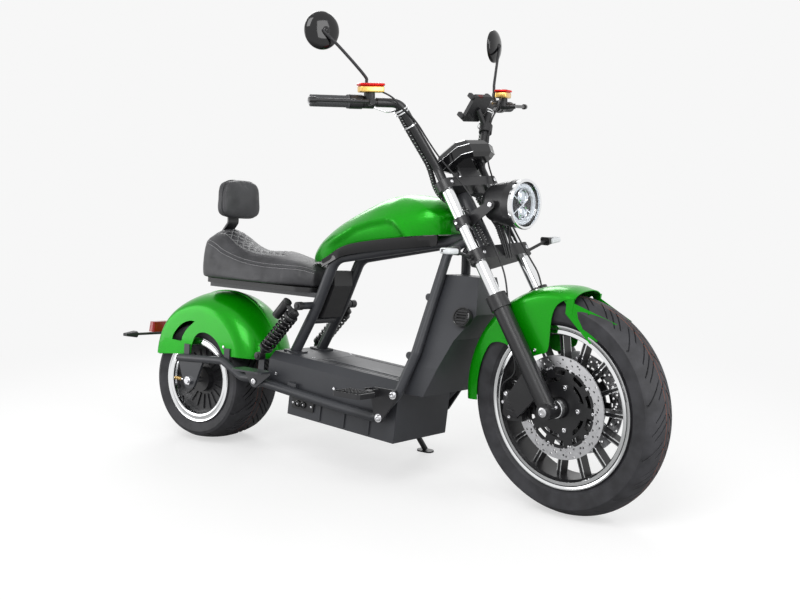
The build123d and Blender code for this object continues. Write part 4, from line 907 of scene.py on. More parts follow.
def pillowed(piece, voxel, pressure, cap):
    """Puff a closed pad with cloth from frame 1 to 20 and hold the swelling to a cap."""
    scene = bpy.context.scene
    bpy.context.view_layer.objects.active = piece
    remesh = piece.modifiers.new("even", "REMESH")
    remesh.mode = "VOXEL"
    remesh.voxel_size = voxel
    bpy.context.view_layer.update()
    even = bpy.data.meshes.new_from_object(piece.evaluated_get(bpy.context.evaluated_depsgraph_get()))
    piece.modifiers.clear()
    piece.data = even
    start = [vertex.co.copy() for vertex in even.vertices]
    cloth = piece.modifiers.new("puff", "CLOTH")
    cloth.settings.use_pressure = True
    cloth.settings.uniform_pressure_force = pressure
    cloth.settings.effector_weights.gravity = 0.0
    cloth.settings.tension_stiffness = 12
    cloth.settings.compression_stiffness = 12
    cloth.settings.bending_stiffness = 0.6
    pinned = piece.vertex_groups.new(name="pinned")
    low = min(point.z for point in start)
    pinned.add([index for index, point in enumerate(start) if point.z < low + 0.006], 1.0, "REPLACE")
    cloth.settings.vertex_group_mass = "pinned"
    for number in range(1, 21):
        scene.frame_set(number)
    swollen = piece.evaluated_get(bpy.context.evaluated_depsgraph_get()).data
    moved_to = [vertex.co.copy() for vertex in swollen.vertices]
    piece.modifiers.clear()
    for vertex, before, after in zip(even.vertices, start, moved_to):
        shift = after - before
        if shift.length > cap:
            shift *= cap / shift.length
        vertex.co = before + shift
    scene.frame_set(1)


def relaxed(piece, rounds, factor=0.5):
    """Smooth a mesh and divide it once."""
    for kind, settings in (("SMOOTH", {"factor": factor, "iterations": rounds}), ("SUBSURF", {"levels": 1})):
        modifier = piece.modifiers.new(kind.lower(), kind)
        for key, value in settings.items():
            setattr(modifier, key, value)
    bpy.context.view_layer.update()
    mesh = bpy.data.meshes.new_from_object(piece.evaluated_get(bpy.context.evaluated_depsgraph_get()))
    piece.modifiers.clear()
    piece.data = mesh
    mesh.polygons.foreach_set("use_smooth", [True] * len(mesh.polygons))


def cushion(name, part, voxel, pressure, cap, node, rounds=4):
    """Padded piece made in the vehicle frame and puffed."""
    piece = on_chassis(name, [part], seat_leather, smooth=0)
    pillowed(piece, voxel, pressure, cap)
    relaxed(piece, rounds)
    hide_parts(node)
    return piece


def surface_of(piece):
    """Search tree over a piece's surface, in metres in its own space."""
    mesh = piece.data
    return BVHTree.FromPolygons([vertex.co.copy() for vertex in mesh.vertices],
                                [list(face.vertices) for face in mesh.polygons])


seat = cushion("seat_cushion", seat_mesh(3.0), 0.0055, 4.0, 0.007, "seat_pad")
skin = surface_of(seat)


def on_seat(x, y, up=0.0):
    """Point of the seat's top under (x, y), in millimetres."""
    hit = skin.ray_cast(Vector((x, y, 900)) * METRES, Vector((0, 0, -1)))[0]
    return hit * 1000 + Vector((0, 0, up)) if hit else None


def seam_rim(share):
    """Point of the side seam on the left, share of the way along it."""
    x = 20 + 466 * share
    wide, seam = along_run(x, SEAT_WIDE) - 9, along_run(x, SEAT_SEAM)
    near = skin.find_nearest(Vector((x, wide + 1, seam)) * METRES)[0]
    return near * 1000


QUILT_HALF = 52
QUILT_FROM, QUILT_TO, QUILT_STEP = 46, 330, 30
quilt_lines = []
for index in range(-4, 16):
    for slope in (1, -1):
        line = []
        for step in range(27):
            y = -QUILT_HALF + 2 * QUILT_HALF * step / 26
            x = QUILT_FROM + index * QUILT_STEP + slope * y * 0.8
            if QUILT_FROM <= x <= QUILT_TO:
                line.append((x, y))
        if len(line) > 3:
            quilt_lines.append(line)
for side in (1, -1):
    quilt_lines.append([(QUILT_FROM - 14 + 304 * step / 60, side * QUILT_HALF) for step in range(61)])


def press_lines(piece, lines, depth, reach):
    """Press channels into a pad's top along lines of (x, y)."""
    cells = {}
    for line in lines:
        for (xa, ya), (xb, yb) in zip(line, line[1:]):
            for share in (0, 0.25, 0.5, 0.75, 1):
                x, y = xa + (xb - xa) * share, ya + (yb - ya) * share
                cells.setdefault((int(x // 12), int(y // 12)), []).append((x, y))
    for vertex in piece.data.vertices:
        if vertex.normal.z < 0.35 or vertex.co.z < 0.63:
            continue
        x, y = vertex.co.x * 1000, vertex.co.y * 1000
        best = 1e9
        for dx in (-1, 0, 1):
            for dy in (-1, 0, 1):
                for px, py in cells.get((int(x // 12) + dx, int(y // 12) + dy), ()):
                    best = min(best, (px - x) ** 2 + (py - y) ** 2)
        gap = sqrt(best)
        if gap < reach:
            vertex.co.z -= depth * METRES * (1 - gap / reach) ** 1.3
    piece.data.update()


press_lines(seat, quilt_lines, 2.6, 9)
skin = surface_of(seat)


def stitches(lines, length, gap, radius, lift):
    """Short threads laid along lines of points, in millimetres."""
    parts = []
    for line in lines:
        travelled, target = 0.0, 0.0
        for a, b in zip(line, line[1:]):
            span = (b - a).length
            while target < travelled + span and span > 0:
                start = a + (b - a) * ((target - travelled) / span)
                end = start + (b - a).normalized() * length
                middle = (start + end) / 2 + lift * 0.6
                parts.append(tube_along([start + lift * -0.1, middle, end + lift * -0.1], radius, 6))
                target += length + gap
            travelled += span
    return parts


quilt_points = []
for line in quilt_lines:
    run = [on_seat(x, y) for x, y in line]
    quilt_points.append([point for point in run if point is not None])
on_chassis("quilt_stitches", stitches(quilt_points, 4.4, 1.8, 0.75, Vector((0, 0, 1.0))), thread)
rims = []
for side in (1, -1):
    base = [seam_rim(step / 70) for step in range(71)]
    rims.append([Vector((point.x, side * point.y, point.z)) for point in base])
on_chassis("seat_piping", [tube_along(rim, 1.9, 8) for rim in rims], seat_leather)
side_threads = []
for rim in rims:
    outward = 1 if rim[0].y > 0 else -1
    for out, up in ((1.5, -5), (-6, 6)):
        beside = Vector((0, out * outward, up))
        line = [skin.find_nearest((point + beside) * METRES)[0] * 1000 for point in rim[::2]]
        side_threads += stitches([line], 4.2, 2.2, 0.6, Vector((0, 0.5 * outward, 0.4)))
on_chassis("seat_side_stitches", side_threads, thread)

# Backrest: a rounded pad in two layers with a piped seam between them
BACK_TILT = Matrix.Translation((41.6, 0, 870)) @ Matrix.Rotation(-0.045, 4, "Y")


def back_outline(grow, count=64):
    """Rounded trapezoid as (y, z) round the pad's middle."""
    out = []
    for index in range(count):
        angle = 2 * pi * index / count
        c, k = cos(angle), sin(angle)
        z = (68 + grow) * (abs(k) ** 0.46) * (1 if k > 0 else -1)
        y = (97 + grow - 11 * (z + 68) / 136) * (abs(c) ** 0.46) * (1 if c > 0 else -1)
        out.append((y, z))
    return out


# Each layer is a depth from the back and how far the outline grows there
layers = [(2, -34), (2, -8), (5, -2.5), (14, 0), (25, -1.5), (28, -3.4), (31, -1.5), (40, -0.5), (46, -5), (49.5, -14),
          (51.5, -34)]
points = []
for depth, grow in layers:
    points += [BACK_TILT @ Vector((depth, y, z)) for y, z in back_outline(grow - 1.5)]
faces = ring_faces(len(layers), 64)
faces += [list(range(64))[::-1], [len(points) - 64 + index for index in range(64)]]
cushion("backrest_cushion", (points, faces), 0.005, 3.0, 0.004, "backrest_pad", 2)
PIPING_DEPTH = 28.2
loop = [BACK_TILT @ Vector((PIPING_DEPTH, y, z)) for y, z in back_outline(-1.2, 96)]
on_chassis("backrest_piping", [tube_along(loop + loop[:1], 1.8, 8)], seat_leather)
on_chassis("backrest_bolts", [
    hex_bolt((-33.2, y, z), (-1, 0, 0), 6, 4) for y, z in ((0, 640), (0, 612))
] + [hex_bolt(BACK_TILT @ Vector((-6.5, y, 0)), (-1, 0, 0), 6, 4) for y in (-14, 14)], zinc)

# Front fender: a crowned band whose skirts reach down to the fork lugs; stations are (angle, radius of the edge)
def round_centre(centre, angle, y, radius):
    """Point at an angle and radius round a centre, y to its left."""
    return centre + Vector((cos(radians(angle)) * radius, y, sin(radians(angle)) * radius))


SKIRT_EDGE = [(80, 330), (84, 321), (87, 312), (90, 299), (92.5, 278), (94.5, 248), (96, 215), (98, 182), (101, 166),
              (105, 162), (120, 164), (127, 170), (133, 200), (138, 250), (144, 282), (150, 291), (184, 292)]


def fender_row(angle):
    """Across the front fender at an angle round the axle, from one skirt's edge to the other, as (y, radius)."""
    edge = along_run(angle, SKIRT_EDGE)
    nose = 1 - smooth_step(angle, 80, 88)
    half = 72.4 - 7 * nose
    crest = 349.6 - 3 * nose
    side = [(half, edge + (318 - edge) * (step / 8)) for step in range(8)]
    for step in range(11):
        turn = pi / 2 * step / 10
        side.append((half * cos(turn) ** 0.9, 318 + (crest - 318) * sin(turn) ** 0.9))
    return side + [(-y, r) for y, r in side[-2::-1]]


def sheet_mesh(rows, thickness):
    """Sheet through rows of points with an inner face and rims."""
    shape = bmesh.new()
    grid = [[shape.verts.new(point) for point in row] for row in rows]
    for upper, lower in zip(grid, grid[1:]):
        for index in range(len(upper) - 1):
            shape.faces.new((upper[index], upper[index + 1], lower[index + 1], lower[index]))
    bmesh.ops.recalc_face_normals(shape, faces=shape.faces[:])
    bmesh.ops.solidify(shape, geom=shape.faces[:], thickness=thickness)
    return taken(shape)


FENDER_TAIL, FENDER_STEPS = 184, 105
rows = []
for angle in range(FENDER_TAIL, FENDER_TAIL - FENDER_STEPS, -1):
    rows.append([round_centre(FRONT_AXLE, angle, y, r) for y, r in fender_row(angle)])
front_fender = on_fork("front_fender_sheet", [sheet_mesh(rows, 2.4)], green, smooth=38)
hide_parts("front_fender")
lugs = []
for side in (1, -1):
    for up, ahead_by in ((232, 0), (176, 26), (226, -52)):
        spot = fork_point(up, side * 72.8, ahead_by)
        lugs.append(hex_bolt(spot, (0, side, 0), 5.5, 4))
on_fork("fender_bolts_front", lugs, zinc)

# Rear fender: a deeply rounded cover with a crescent slot in each side and an arch over the hub
# Its stations are (angle round the fender's centre, radius): the lower edge, where the flat side ends, and the slot
FENDER_CENTRE = Vector((45, 0, 280))
FENDER_HALF, FENDER_CREST = 125.0, 259.5
FENDER_FROM, FENDER_SWEEP = 9.5, 168.5
FENDER_FOOT = [(9.5, 259), (11, 226), (13, 192), (16, 157), (19, 133), (22, 118), (28, 109), (60, 111), (88, 113),
               (108, 108), (125, 91), (140, 78), (154, 69), (160, 83), (165, 101), (170, 131), (173, 162), (175, 190),
               (178, 258)]
FENDER_FLAT = [(9.5, 168), (34, 173), (60, 178), (86, 187), (113, 203), (133, 222), (150, 230), (178, 230)]
SLOT_OUTER = [(107.5, 155), (113, 162), (120, 168), (131, 174), (143, 177), (152, 178), (155.5, 172)]
SLOT_INNER = [(107.5, 155), (113, 150), (121, 146), (131, 142), (141, 137), (148, 134), (155.5, 172)]
SLOT_FROM, SLOT_TO = 107.5, 155.5
SLOT_COLUMN = 3
HALF_ROW = 24


def fender_side(level, flat):
    """Half width of the rear fender at a radius."""
    if level <= flat:
        return FENDER_HALF
    share = min((level - flat) / (FENDER_CREST - flat), 1)
    return FENDER_HALF * (1 - share ** 2.1) ** 0.52


def fender_arc(angle):
    """Across the rear fender at an angle, from one side's edge over the ribbed crest to the other's, as (y, radius)."""
    foot, flat = along_run(angle, FENDER_FOOT), along_run(angle, FENDER_FLAT)
    slotted = SLOT_FROM < angle < SLOT_TO
    inner = along_run(angle, SLOT_INNER) if slotted else 155 if angle <= SLOT_FROM else 172
    outer = along_run(angle, SLOT_OUTER) if slotted else inner + 1
    inner, outer = max(inner, foot + 2), max(outer, foot + 3)
    turn_from = max(flat, outer + 4)
    levels = [foot + (inner - foot) * step / 3 for step in range(3)] + [inner, outer]
    levels += [outer + (turn_from - outer) * step / 3 for step in (1, 2)]
    levels += [turn_from + (FENDER_CREST - turn_from) * sin(pi / 2 * step / 14) for step in range(14)]
    half_row = [(fender_side(level, flat), min(level, FENDER_CREST)) for level in levels]
    half_row = [(y, r) for y, r in half_row if y > 9] + [(8.5, 259.6), (7.5, 262.4), (0, 262.8)]
    while len(half_row) < HALF_ROW:
        half_row.insert(-3, half_row[-4])
    return half_row + [(-y, r) for y, r in half_row[-2::-1]]


fender_angles = sorted({FENDER_FROM + FENDER_SWEEP * step / 120 for step in range(121)}
                       | {SLOT_FROM, SLOT_TO, 146.0, 148.0, 150.0, 152.0, 154.0})
shape = bmesh.new()
sheet_rows = []
for angle in fender_angles:
    sheet_rows.append([shape.verts.new(round_centre(FENDER_CENTRE, angle, y, r)) for y, r in fender_arc(angle)])
for index, (upper, lower) in enumerate(zip(sheet_rows, sheet_rows[1:])):
    middle = (fender_angles[index] + fender_angles[index + 1]) / 2
    for column in range(len(upper) - 1):
        from_edge = min(column, len(upper) - 2 - column)
        if from_edge != SLOT_COLUMN or not SLOT_FROM < middle < SLOT_TO:
            shape.faces.new((upper[column], upper[column + 1], lower[column + 1], lower[column]))
bmesh.ops.remove_doubles(shape, verts=shape.verts[:], dist=0.05)
bmesh.ops.recalc_face_normals(shape, faces=shape.faces[:])
bmesh.ops.solidify(shape, geom=shape.faces[:], thickness=2.6)
rear_fender = on_chassis("rear_fender_sheet", [taken(shape)], green, smooth=34)
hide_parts("rear_fender")

# Deck: a smooth lid with a fine grip face, its seam and screws
DECK_SLOPE = radians(3.9)
DECK = Matrix.Translation((926, 0, 332)) @ Matrix.Rotation(DECK_SLOPE, 4, "Y")
lid = [rounded_box((328, 222, 6.6), 2.4, DECK @ Matrix.Translation((-201, 0, -2.8))),
       rounded_box((300, 150, 3), 1.4, DECK @ Matrix.Translation((-201, 0, 1.2)))]
lid_piece = joined("lid_plate", PARKED, lid, case_grey, "lid", smooth=30)
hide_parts("deck_lid")
lid_lines = [rounded_box((318, 1.6, 1), 0.4, DECK @ Matrix.Translation((-201, y, 0.7))) for y in (-92, -86, 86, 92)]
joined("lid_lines", PARKED, lid_lines, moulded, "lid", smooth=0)
deck_screws = [hex_bolt(DECK @ Vector((-back, y, 0.2)), (0.068, 0, 1), 4.6, 2.2)
               for back, y in ((18, 96), (18, -96), (390, 98), (390, -98), (500, 104), (500, -104))]
deck_screws += [hex_bolt(DECK @ Vector((-back, side * 150.2, -70)), (0, side, 0), 5, 2.5)
                for back in (70, 250, 500) for side in (1, -1)]
on_chassis("deck_screws", deck_screws, zinc)

# Charging sockets, peg bolts and treads, axle adjusters and fender bolts
sockets, socket_rims = [], []
for shift in (-20, 4):
    place = DECK @ Matrix.Translation((-372 + shift, -152.6, -148)) @ Matrix.Rotation(pi / 2, 4, "X")
    sockets.append(moved(lathe([(0, 11), (3.4, 11), (4.4, 9.6), (4.4, 8), (1, 7.4), (1, 0.01)], 28, False), place))
    socket_rims.append(moved(lathe([(0.8, 2.6), (4, 2.6), (4.2, 0.01)], 12, False), place))
for shift in (-40, 38):
    socket_rims.append(hex_bolt(DECK @ Vector((-372 + shift, -152.4, -148)), (0, -1, 0), 3.4, 2))
on_chassis("socket_bodies", sockets, gloss_black)
on_chassis("socket_contacts", socket_rims, zinc)
pegs = []
for side in (1, -1):
    for x, z in ((884, 222), (934, 300)):
        pegs.append(hex_bolt((x, side * 191, z), (0, side, 0), 9.5, 6))
        pegs.append(moved(lathe([(0, 13), (1.6, 13), (1.6, 9)], 28), facing((x, side * 191, z), (0, side, 0))))
    pegs.append(hex_bolt((358, side * 188.2, 265), (0, side, 0), 10, 5))
on_chassis("peg_bolts", pegs, zinc)
for label, side in (("left", 1), ("right", -1)):
    treads = []
    for row in range(7):
        treads.append(rounded_box((3, 76, 3), 1, Matrix.Translation((812 + row * 13.4, side * 278, 309.4))))
    for column in range(-2, 3):
        treads.append(rounded_box((84, 2.4, 2.4), 0.8, Matrix.Translation((852, side * 278 + column * 15, 309))))
    joined(f"peg_tread_{label}", PARKED, treads, cast_black, f"{label}_peg", smooth=0)
NUT_STEP = 8.5
adjusters, studs = [], []
for side in (1, -1):
    for index in range(4):
        start = index * NUT_STEP
        nut = lathe([(start, 6.8), (start + 4.5, 6.8), (start + 5, 5), (start, 5)], 6)
        adjusters.append(moved(nut, facing((-74, side * 136, 217), (1, 0, 0))))
    studs.append(tube_along([(-78, side * 136, 217), (-30, side * 136, 217)], 3.6, 10))
on_chassis("axle_adjusters", adjusters, brass)
on_chassis("adjuster_studs", studs, zinc)
fender_bolts = []
for side in (1, -1):
    for x, z in ((-31, 331), (148, 353)):
        fender_bolts.append(hex_bolt((x, side * 125.2, z), (0, side, 0), 5.5, 3.5))
on_chassis("fender_bolts_rear", fender_bolts, zinc)

# Fluid reservoirs: long gold bodies with ribbed red caps
bodies, caps, cap_screws = [], [], []
for side in (1, -1):
    bar_way = Vector((bar_out.x, side * bar_out.y, 0)).normalized()
    base = bar_point(98, 22, 26, side)
    place = Matrix.Translation(base) @ bar_way.to_track_quat("X", "Z").to_matrix().to_4x4()
    for height, tall, size, target in ((10, 19, (72, 38), bodies), (23.5, 8.5, (76, 42), caps)):
        target.append(rounded_box((size[0], size[1], tall), 4.2, place @ Matrix.Translation((0, 0, height))))
    for rib in range(-5, 6):
        caps.append(rounded_box((2.2, 43.4, 5), 0.8, place @ Matrix.Translation((rib * 6.4, 0, 23.5))))
    for shift in (-27, 27):
        cap_screws.append(hex_bolt(place @ Vector((shift, 0, 27.4)), (0, 0, 1), 4, 2))
reservoir = on_fork("reservoir_bodies", bodies, gold)
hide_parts("reservoirs")
cap_piece = on_fork("reservoir_lids", caps, red_anodised)
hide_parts("reservoir_caps")
on_fork("reservoir_screws", cap_screws, zinc)

# Grips: ribbed rubber sleeves with end caps
sleeves, ends = [], []
for side in (1, -1):
    inner, outer = bar_point(BAR_LENGTH - 118, 0, 0, side), bar_point(BAR_LENGTH - 1, 0, 0, side)
    profile = [(0, 11.4), (0, 19.5), (3, 20.5), (6, 19.5), (7, 16.6)]
    for rib in range(20):
        level = 10 + rib * 5
        profile += [(level, 16.2), (level + 0.6, 17.4), (level + 3.4, 17.4), (level + 4, 16.2)]
    profile += [(112, 17.4), (116, 17.2), (117, 15), (117, 11.4)]
    sleeves.append(moved(lathe(profile, 36), facing(inner, outer - inner)))
    cap = lathe([(117, 0.01), (117, 12), (120, 12), (122, 9), (122, 0.01)], 24, False)
    ends.append(moved(cap, facing(inner, outer - inner)))
grip_piece = on_fork("grip_sleeves", sleeves, grip_rubber, smooth=50)
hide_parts("grips")
on_fork("grip_ends", ends, zinc)

# Dash: a faceted gloss hood with a bright lower line and a screen
hood = fork_point(789, 0, 44)
HOOD = Matrix.Translation(hood) @ Matrix((FORK_AHEAD, Vector((0, 1, 0)), FORK_UP)).transposed().to_4x4()
points = []
rings = [(-3, 50, 64), (8, 60, 78), (34, 62, 82), (52, 54, 74), (60, 44, 62)]
for level, deep, wide in rings:
    corner = [(deep, wide * 0.55), (deep * 0.72, wide), (-deep * 0.8, wide), (-deep, wide * 0.7),
              (-deep, -wide * 0.7), (-deep * 0.8, -wide), (deep * 0.72, -wide), (deep, -wide * 0.55)]
    points += [HOOD @ Vector((x, y, level)) for x, y in corner]
faces = ring_faces(len(rings), 8)
faces += [list(range(8))[::-1], [len(points) - 8 + index for index in range(8)]]
dash_piece = on_fork("dash_hood", [(points, faces)], gloss_black, smooth=0)
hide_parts("dash")
on_fork("dash_screen", [rounded_box((66, 96, 3), 1.2, HOOD @ Matrix.Translation((-4, 0, 61)))],
        mirror_glass)
trim_lines = []
for level, deep, wide in ((8, 60.8, 78.8), (34, 62.8, 82.8)):
    corner = [(deep, wide * 0.55), (deep * 0.72, wide), (-deep * 0.8, wide)]
    for sign in (1, -1):
        run = [HOOD @ Vector((x, sign * y, level)) for x, y in corner]
        trim_lines.append(tube_along(run, 0.9, 6))
on_fork("dash_edges", trim_lines, alloy)

# Clamp bolts, bracket bolts and caliper hardware
hardware = []
for side in (1, -1):
    for up in (480 + 19, 725 + 15):
        hardware.append(hex_bolt(fork_point(up, side * 100, 27.5), FORK_AHEAD, 6, 5))
    for shift in (-11, 11):
        hardware.append(hex_bolt(fork_point(755, side * 34 + shift, 22), FORK_UP, 6, 5))
    hardware.append(hex_bolt((1196, side * 80.4, 900), (0, side, 0), 8, 5))
    hardware.append(hex_bolt(fork_point(614, side * 126, 0), (0, side, 0), 5, 4))
    for x, z in ((1262, 344), (1276, 276), (1306, 336), (1252, 318)):
        hardware.append(hex_bolt((x, side * 76.2, z), (0, side, 0), 7 if x == 1262 else 5.5, 6))
on_fork("front_hardware", hardware, zinc)
caliper_body = []
CALIPER_TILT = Matrix.Rotation(0.2, 4, "Y")
for side in (1, -1):
    caliper_body.append(rounded_box((56, 6, 62), 2.6, Matrix.Translation((1284, side * 78, 311)) @ CALIPER_TILT))
    for rib in range(3):
        place = Matrix.Translation((1286, side * 82, 296 + rib * 15)) @ CALIPER_TILT
        caliper_body.append(rounded_box((40, 4, 5), 1.6, place))
on_fork("caliper_covers", caliper_body, cast_black)

# Held cables: smooth curves between their fittings
def held(name, route, radius, material):
    """Hose or cable on a smooth curve through control points, in millimetres."""
    curve = bpy.data.curves.new(name, "CURVE")
    curve.dimensions = "3D"
    spline = curve.splines.new("NURBS")
    spline.points.add(len(route) - 1)
    for point, where in zip(spline.points, route):
        point.co = (*(Vector(where) * METRES), 1)
    spline.order_u = 3
    spline.use_endpoint_u = True
    curve.resolution_u = 8
    line = bpy.data.objects.new(name + "_route", curve)
    bpy.context.scene.collection.objects.link(line)
    bpy.context.view_layer.update()
    bare = bpy.data.meshes.new_from_object(line.evaluated_get(bpy.context.evaluated_depsgraph_get()))
    run = [vertex.co * 1000 for vertex in bare.vertices]
    bpy.data.objects.remove(line)
    bpy.data.curves.remove(curve)
    on_fork(name, [tube_along(run, radius, 10)], material)
    return run


riser_foot = fork_point(801, 100)
riser = (BAR_KNEE - riser_foot).normalized()
WRAP_STEP = 7.5


def near_riser(side, share, out, behind):
    """Point beside and behind a handlebar riser, share of the way up it."""
    spot = riser_foot + (BAR_KNEE - riser_foot) * share
    return Vector((spot.x - behind, side * (spot.y + out), spot.z))


for label, side in (("left", 1), ("right", -1)):
    route = [near_riser(side, *spot)
             for spot in ((0.92, 2, 22), (0.7, 8, 21), (0.45, 9, 21), (0.2, 8, 21), (0.02, 6, 24))]
    route += [fork_point(up, side * y, ahead_by)
              for up, y, ahead_by in ((740, 92, -50), (690, 62, -30), (640, 50, 6), (560, 44, 4), (530, 40, 2))]
    run = held(f"cable_sleeve_{label}", route, 8.2, moulded)
    wraps, painted_glints = [], []
    travelled = 0.0
    for index in range(1, len(run)):
        step = (run[index] - run[index - 1]).length
        travelled += step
        if travelled > WRAP_STEP:
            travelled = 0.0
            direction = run[index] - run[index - 1]
            tilt = facing(run[index], direction) @ Matrix.Rotation(0.4, 4, "X")
            wraps.append(moved(lathe([(-2, 8), (-1.2, 9.6), (1.2, 9.6), (2, 8)], 16), tilt))
            # Four bright alloy dashes round each wrap are painted highlights: they stand in for the spiral wrap's
            # reflections and are no part of the real sleeve.
            for quarter in range(4):
                around = Matrix.Rotation(0.4 + quarter * pi / 2, 4, "Z")
                painted_glints.append(rounded_box((1.8, 4.4, 2.2), 0.6, tilt @ around @ Matrix.Translation((9.5, 0, 0)), 1))
    on_fork(f"sleeve_wraps_{label}", wraps, moulded)
    # The bright alloy dashes are painted highlights on the black sleeve.
    on_fork(f"sleeve_glints_{label}", painted_glints, alloy, smooth=0)
    held(f"control_wire_{label}", [
        bar_point(84, 0, -14, side), bar_point(60, 0, -22, side), bar_point(30, -4, -30, side),
        near_riser(side, 0.9, 6, 20),
    ], 2.4, chrome)
    held(f"brake_hose_{label}", [
        bar_point(66, 26, 30, side), bar_point(36, 28, 20, side), bar_point(8, 26, -10, side),
        near_riser(side, 0.75, -6, -20), near_riser(side, 0.4, -6, -22), near_riser(side, 0.1, -8, -30),
        fork_point(700, side * 66, 46), fork_point(600, side * 62, 42),
        fork_point(470, side * 66, 46), fork_point(380, side * 84, 44), fork_point(250, side * 84, -34),
        fork_point(140, side * 88, -52), Vector((1246, side * 86, 372)), Vector((1250, side * 84, 352)),
    ], 2.6, moulded)
    ties = []
    for share in (0.9, 0.86, 0.66):
        spot = riser_foot + (BAR_KNEE - riser_foot) * share
        centre = Vector((spot.x - 9, side * (spot.y + 3), spot.z))
        tie = lathe([(-2, 21.5), (-2, 23), (2, 23), (2, 21.5)], 28)
        ties.append(moved(tie, facing(centre, (riser.x, side * riser.y, riser.z))))
    on_fork(f"zip_ties_{label}", ties, chrome)
for index, (y, drop, radius) in enumerate(((22, 0, 3.4), (-16, 8, 2.8), (4, 14, 4.2), (-30, 4, 2.4))):
    held(f"loom_{index}", [
        fork_point(700, y, 16), fork_point(660, y * 1.6, 60 + drop), fork_point(600, y * 1.2, 52),
        fork_point(560, y, 60 - drop), fork_point(520, y * 0.6, 44), fork_point(470, y * 0.5, 30),
    ], radius, moulded)

# Phone holder: a grey face with four claws and a red catch
HOLDER_TURN = Matrix(((0, 1, 0), (-0.6, 0, -0.8), (-0.8, 0, 0.6))).transposed().to_4x4()
HOLDER = Matrix.Translation((966, 130, 1184)) @ HOLDER_TURN
claws = [rounded_box((16, 14, 26), 3, HOLDER @ Matrix.Translation((x, y, 16))) for x in (-40, 40) for y in (-36, 36)]
on_fork("holder_claws", claws, moulded)
on_fork("holder_face", [rounded_box((62, 78, 4), 1.6, HOLDER @ Matrix.Translation((0, 0, 13)))],
       case_grey)
on_fork("holder_catch", [rounded_box((26, 8, 8), 2, HOLDER @ Matrix.Translation((-16, -44, 4)))],
       red_anodised)

# Turn signals: clear lenses over the black bodies
signal_lenses = []
for side in (1, -1):
    tip = Matrix.Translation((1178, side * 244, 774)) @ Matrix.Rotation(side * 0.08, 4, "X")
    signal_lenses.append(rounded_box((38, 46, 17), 6, tip @ Matrix.Translation((4, 0, 0))))
on_fork("signal_lenses_front", signal_lenses, lamp_white)

# Horn: a rim and louvres over its face
louvres = []
horn_face = Matrix.Translation((1108, -104.5, 553)) @ Matrix.Rotation(pi / 2 - 0.29, 4, "X")
for index in range(-3, 4):
    long = 2 * sqrt(24 ** 2 - (index * 7) ** 2)
    louvres.append(rounded_box((long, 2.6, 5), 0.9, horn_face @ Matrix.Translation((0, index * 7, 1))))
louvres.append(moved(lathe([(-4, 27), (4, 27.5), (5, 25), (3, 24), (-4, 24)], 48), horn_face))
on_chassis("horn_louvres", louvres, gloss_black, smooth=0)

# Camera and light
VIEW = dict(place=(2865, -2880, 827), yaw=2.19209797, pitch=0.07133651, roll=0.05903267, focal=1100)
d = Vector((cos(VIEW["pitch"]) * cos(VIEW["yaw"]), cos(VIEW["pitch"]) * sin(VIEW["yaw"]), -sin(VIEW["pitch"])))
level = d.cross(Vector((0, 0, 1))).normalized()
over = level.cross(d)
right = level * cos(VIEW["roll"]) + over * sin(VIEW["roll"])
upward = over * cos(VIEW["roll"]) - level * sin(VIEW["roll"])
pose = Matrix((right, upward, -d)).transposed().to_4x4()
pose.translation = Vector(VIEW["place"]) * METRES
camera_data = bpy.data.cameras.new("camera")
camera_data.lens = VIEW["focal"] / 800 * 36
camera_data.sensor_width = 36
camera_data.clip_end = 60
camera = bpy.data.objects.new("camera", camera_data)
bpy.context.scene.collection.objects.link(camera)
camera.matrix_world = PARKED @ pose
bpy.context.scene.camera = camera


def area_light(name, place, target, size, power):
    """Soft lamp aimed at a point, in metres."""
    data = bpy.data.lights.new(name, "AREA")
    data.shape = "RECTANGLE"
    data.size, data.size_y = size
    data.energy = power
    lamp = bpy.data.objects.new(name, data)
    bpy.context.scene.collection.objects.link(lamp)
    aim = (Vector(target) - Vector(place)).to_track_quat("-Z", "Y")
    lamp.matrix_world = Matrix.Translation(place) @ aim.to_matrix().to_4x4()


area_light("key", (1.2, -3.2, 3.6), (0, 0, 0.5), (2.4, 2.4), 95)
area_light("side", (3.6, -0.6, 1.8), (0.4, 0, 0.6), (1.6, 2.4), 45)
area_light("back", (-2.4, 2.6, 2.8), (0, 0, 0.7), (2.4, 1.8), 60)
area_light("left_low", (-3.2, -2.4, 1.2), (0, 0, 0.4), (1.4, 2.0), 30)

PALE = (0.93, 0.93, 0.93, 1)
AMBIENT = 0.35
world = bpy.data.worlds.new("studio")
bpy.context.scene.world = world
world.use_nodes = True
tree = world.node_tree
backdrop = tree.nodes["Background"]
backdrop.inputs["Color"].default_value = PALE
rays = tree.nodes.new("ShaderNodeLightPath")
seen = combine(tree, "MAXIMUM", rays.outputs["Is Camera Ray"], rays.outputs["Is Glossy Ray"])
through = combine(tree, "MAXIMUM", seen.outputs["Value"], rays.outputs["Is Transmission Ray"])
strength = spread(tree, through.outputs["Value"], AMBIENT, 1.0)
tree.links.new(strength.outputs["Result"], backdrop.inputs["Strength"])

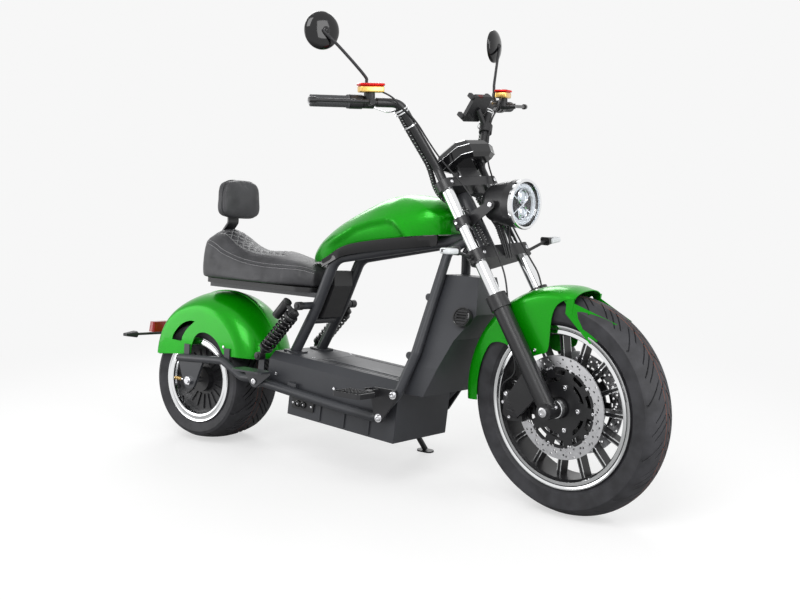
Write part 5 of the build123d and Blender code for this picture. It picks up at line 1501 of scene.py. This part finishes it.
# Floor: lit near the object, so its shadow shows, and fading into the backdrop farther out
FLOOR_LIFT = 0.62
REACH = 9000
FADE_FROM, FADE_TO = 1.15, 2.6
floor_mesh = mesh_from("floor", [(-REACH, -REACH, 0), (REACH, -REACH, 0), (REACH, REACH, 0), (-REACH, REACH, 0)],
                       [[0, 1, 2, 3]])
floor = bpy.data.objects.new("floor", floor_mesh)
bpy.context.scene.collection.objects.link(floor)
floor_material, tree, shader = new_material("floor")
shader.inputs["Base Color"].default_value = (0.5, 0.5, 0.5, 1)
shader.inputs["Roughness"].default_value = 0.95
shader.inputs["Specular IOR Level"].default_value = 0.0
glow = tree.nodes.new("ShaderNodeEmission")
glow.inputs["Color"].default_value = PALE
rays = tree.nodes.new("ShaderNodeLightPath")
lift = combine(tree, "MULTIPLY", rays.outputs["Is Camera Ray"])
lift.inputs[1].default_value = FLOOR_LIFT
tree.links.new(lift.outputs["Value"], glow.inputs["Strength"])
lit = tree.nodes.new("ShaderNodeAddShader")
tree.links.new(shader.outputs["BSDF"], lit.inputs[0])
tree.links.new(glow.outputs["Emission"], lit.inputs[1])
where = tree.nodes.new("ShaderNodeTexCoord")
distance = tree.nodes.new("ShaderNodeVectorMath")
distance.operation = "LENGTH"
tree.links.new(where.outputs["Object"], distance.inputs[0])
fade = tree.nodes.new("ShaderNodeMapRange")
fade.interpolation_type = "SMOOTHSTEP"
fade.inputs["From Min"].default_value = FADE_FROM
fade.inputs["From Max"].default_value = FADE_TO
tree.links.new(distance.outputs["Value"], fade.inputs["Value"])
far = tree.nodes.new("ShaderNodeEmission")
far.inputs["Color"].default_value = PALE
blend = tree.nodes.new("ShaderNodeMixShader")
tree.links.new(fade.outputs["Result"], blend.inputs["Fac"])
tree.links.new(lit.outputs["Shader"], blend.inputs[1])
tree.links.new(far.outputs["Emission"], blend.inputs[2])
output = tree.nodes["Material Output"]
tree.links.new(blend.outputs["Shader"], output.inputs["Surface"])
floor_mesh.materials.append(floor_material)

bpy.context.scene.view_settings.view_transform = "Standard"
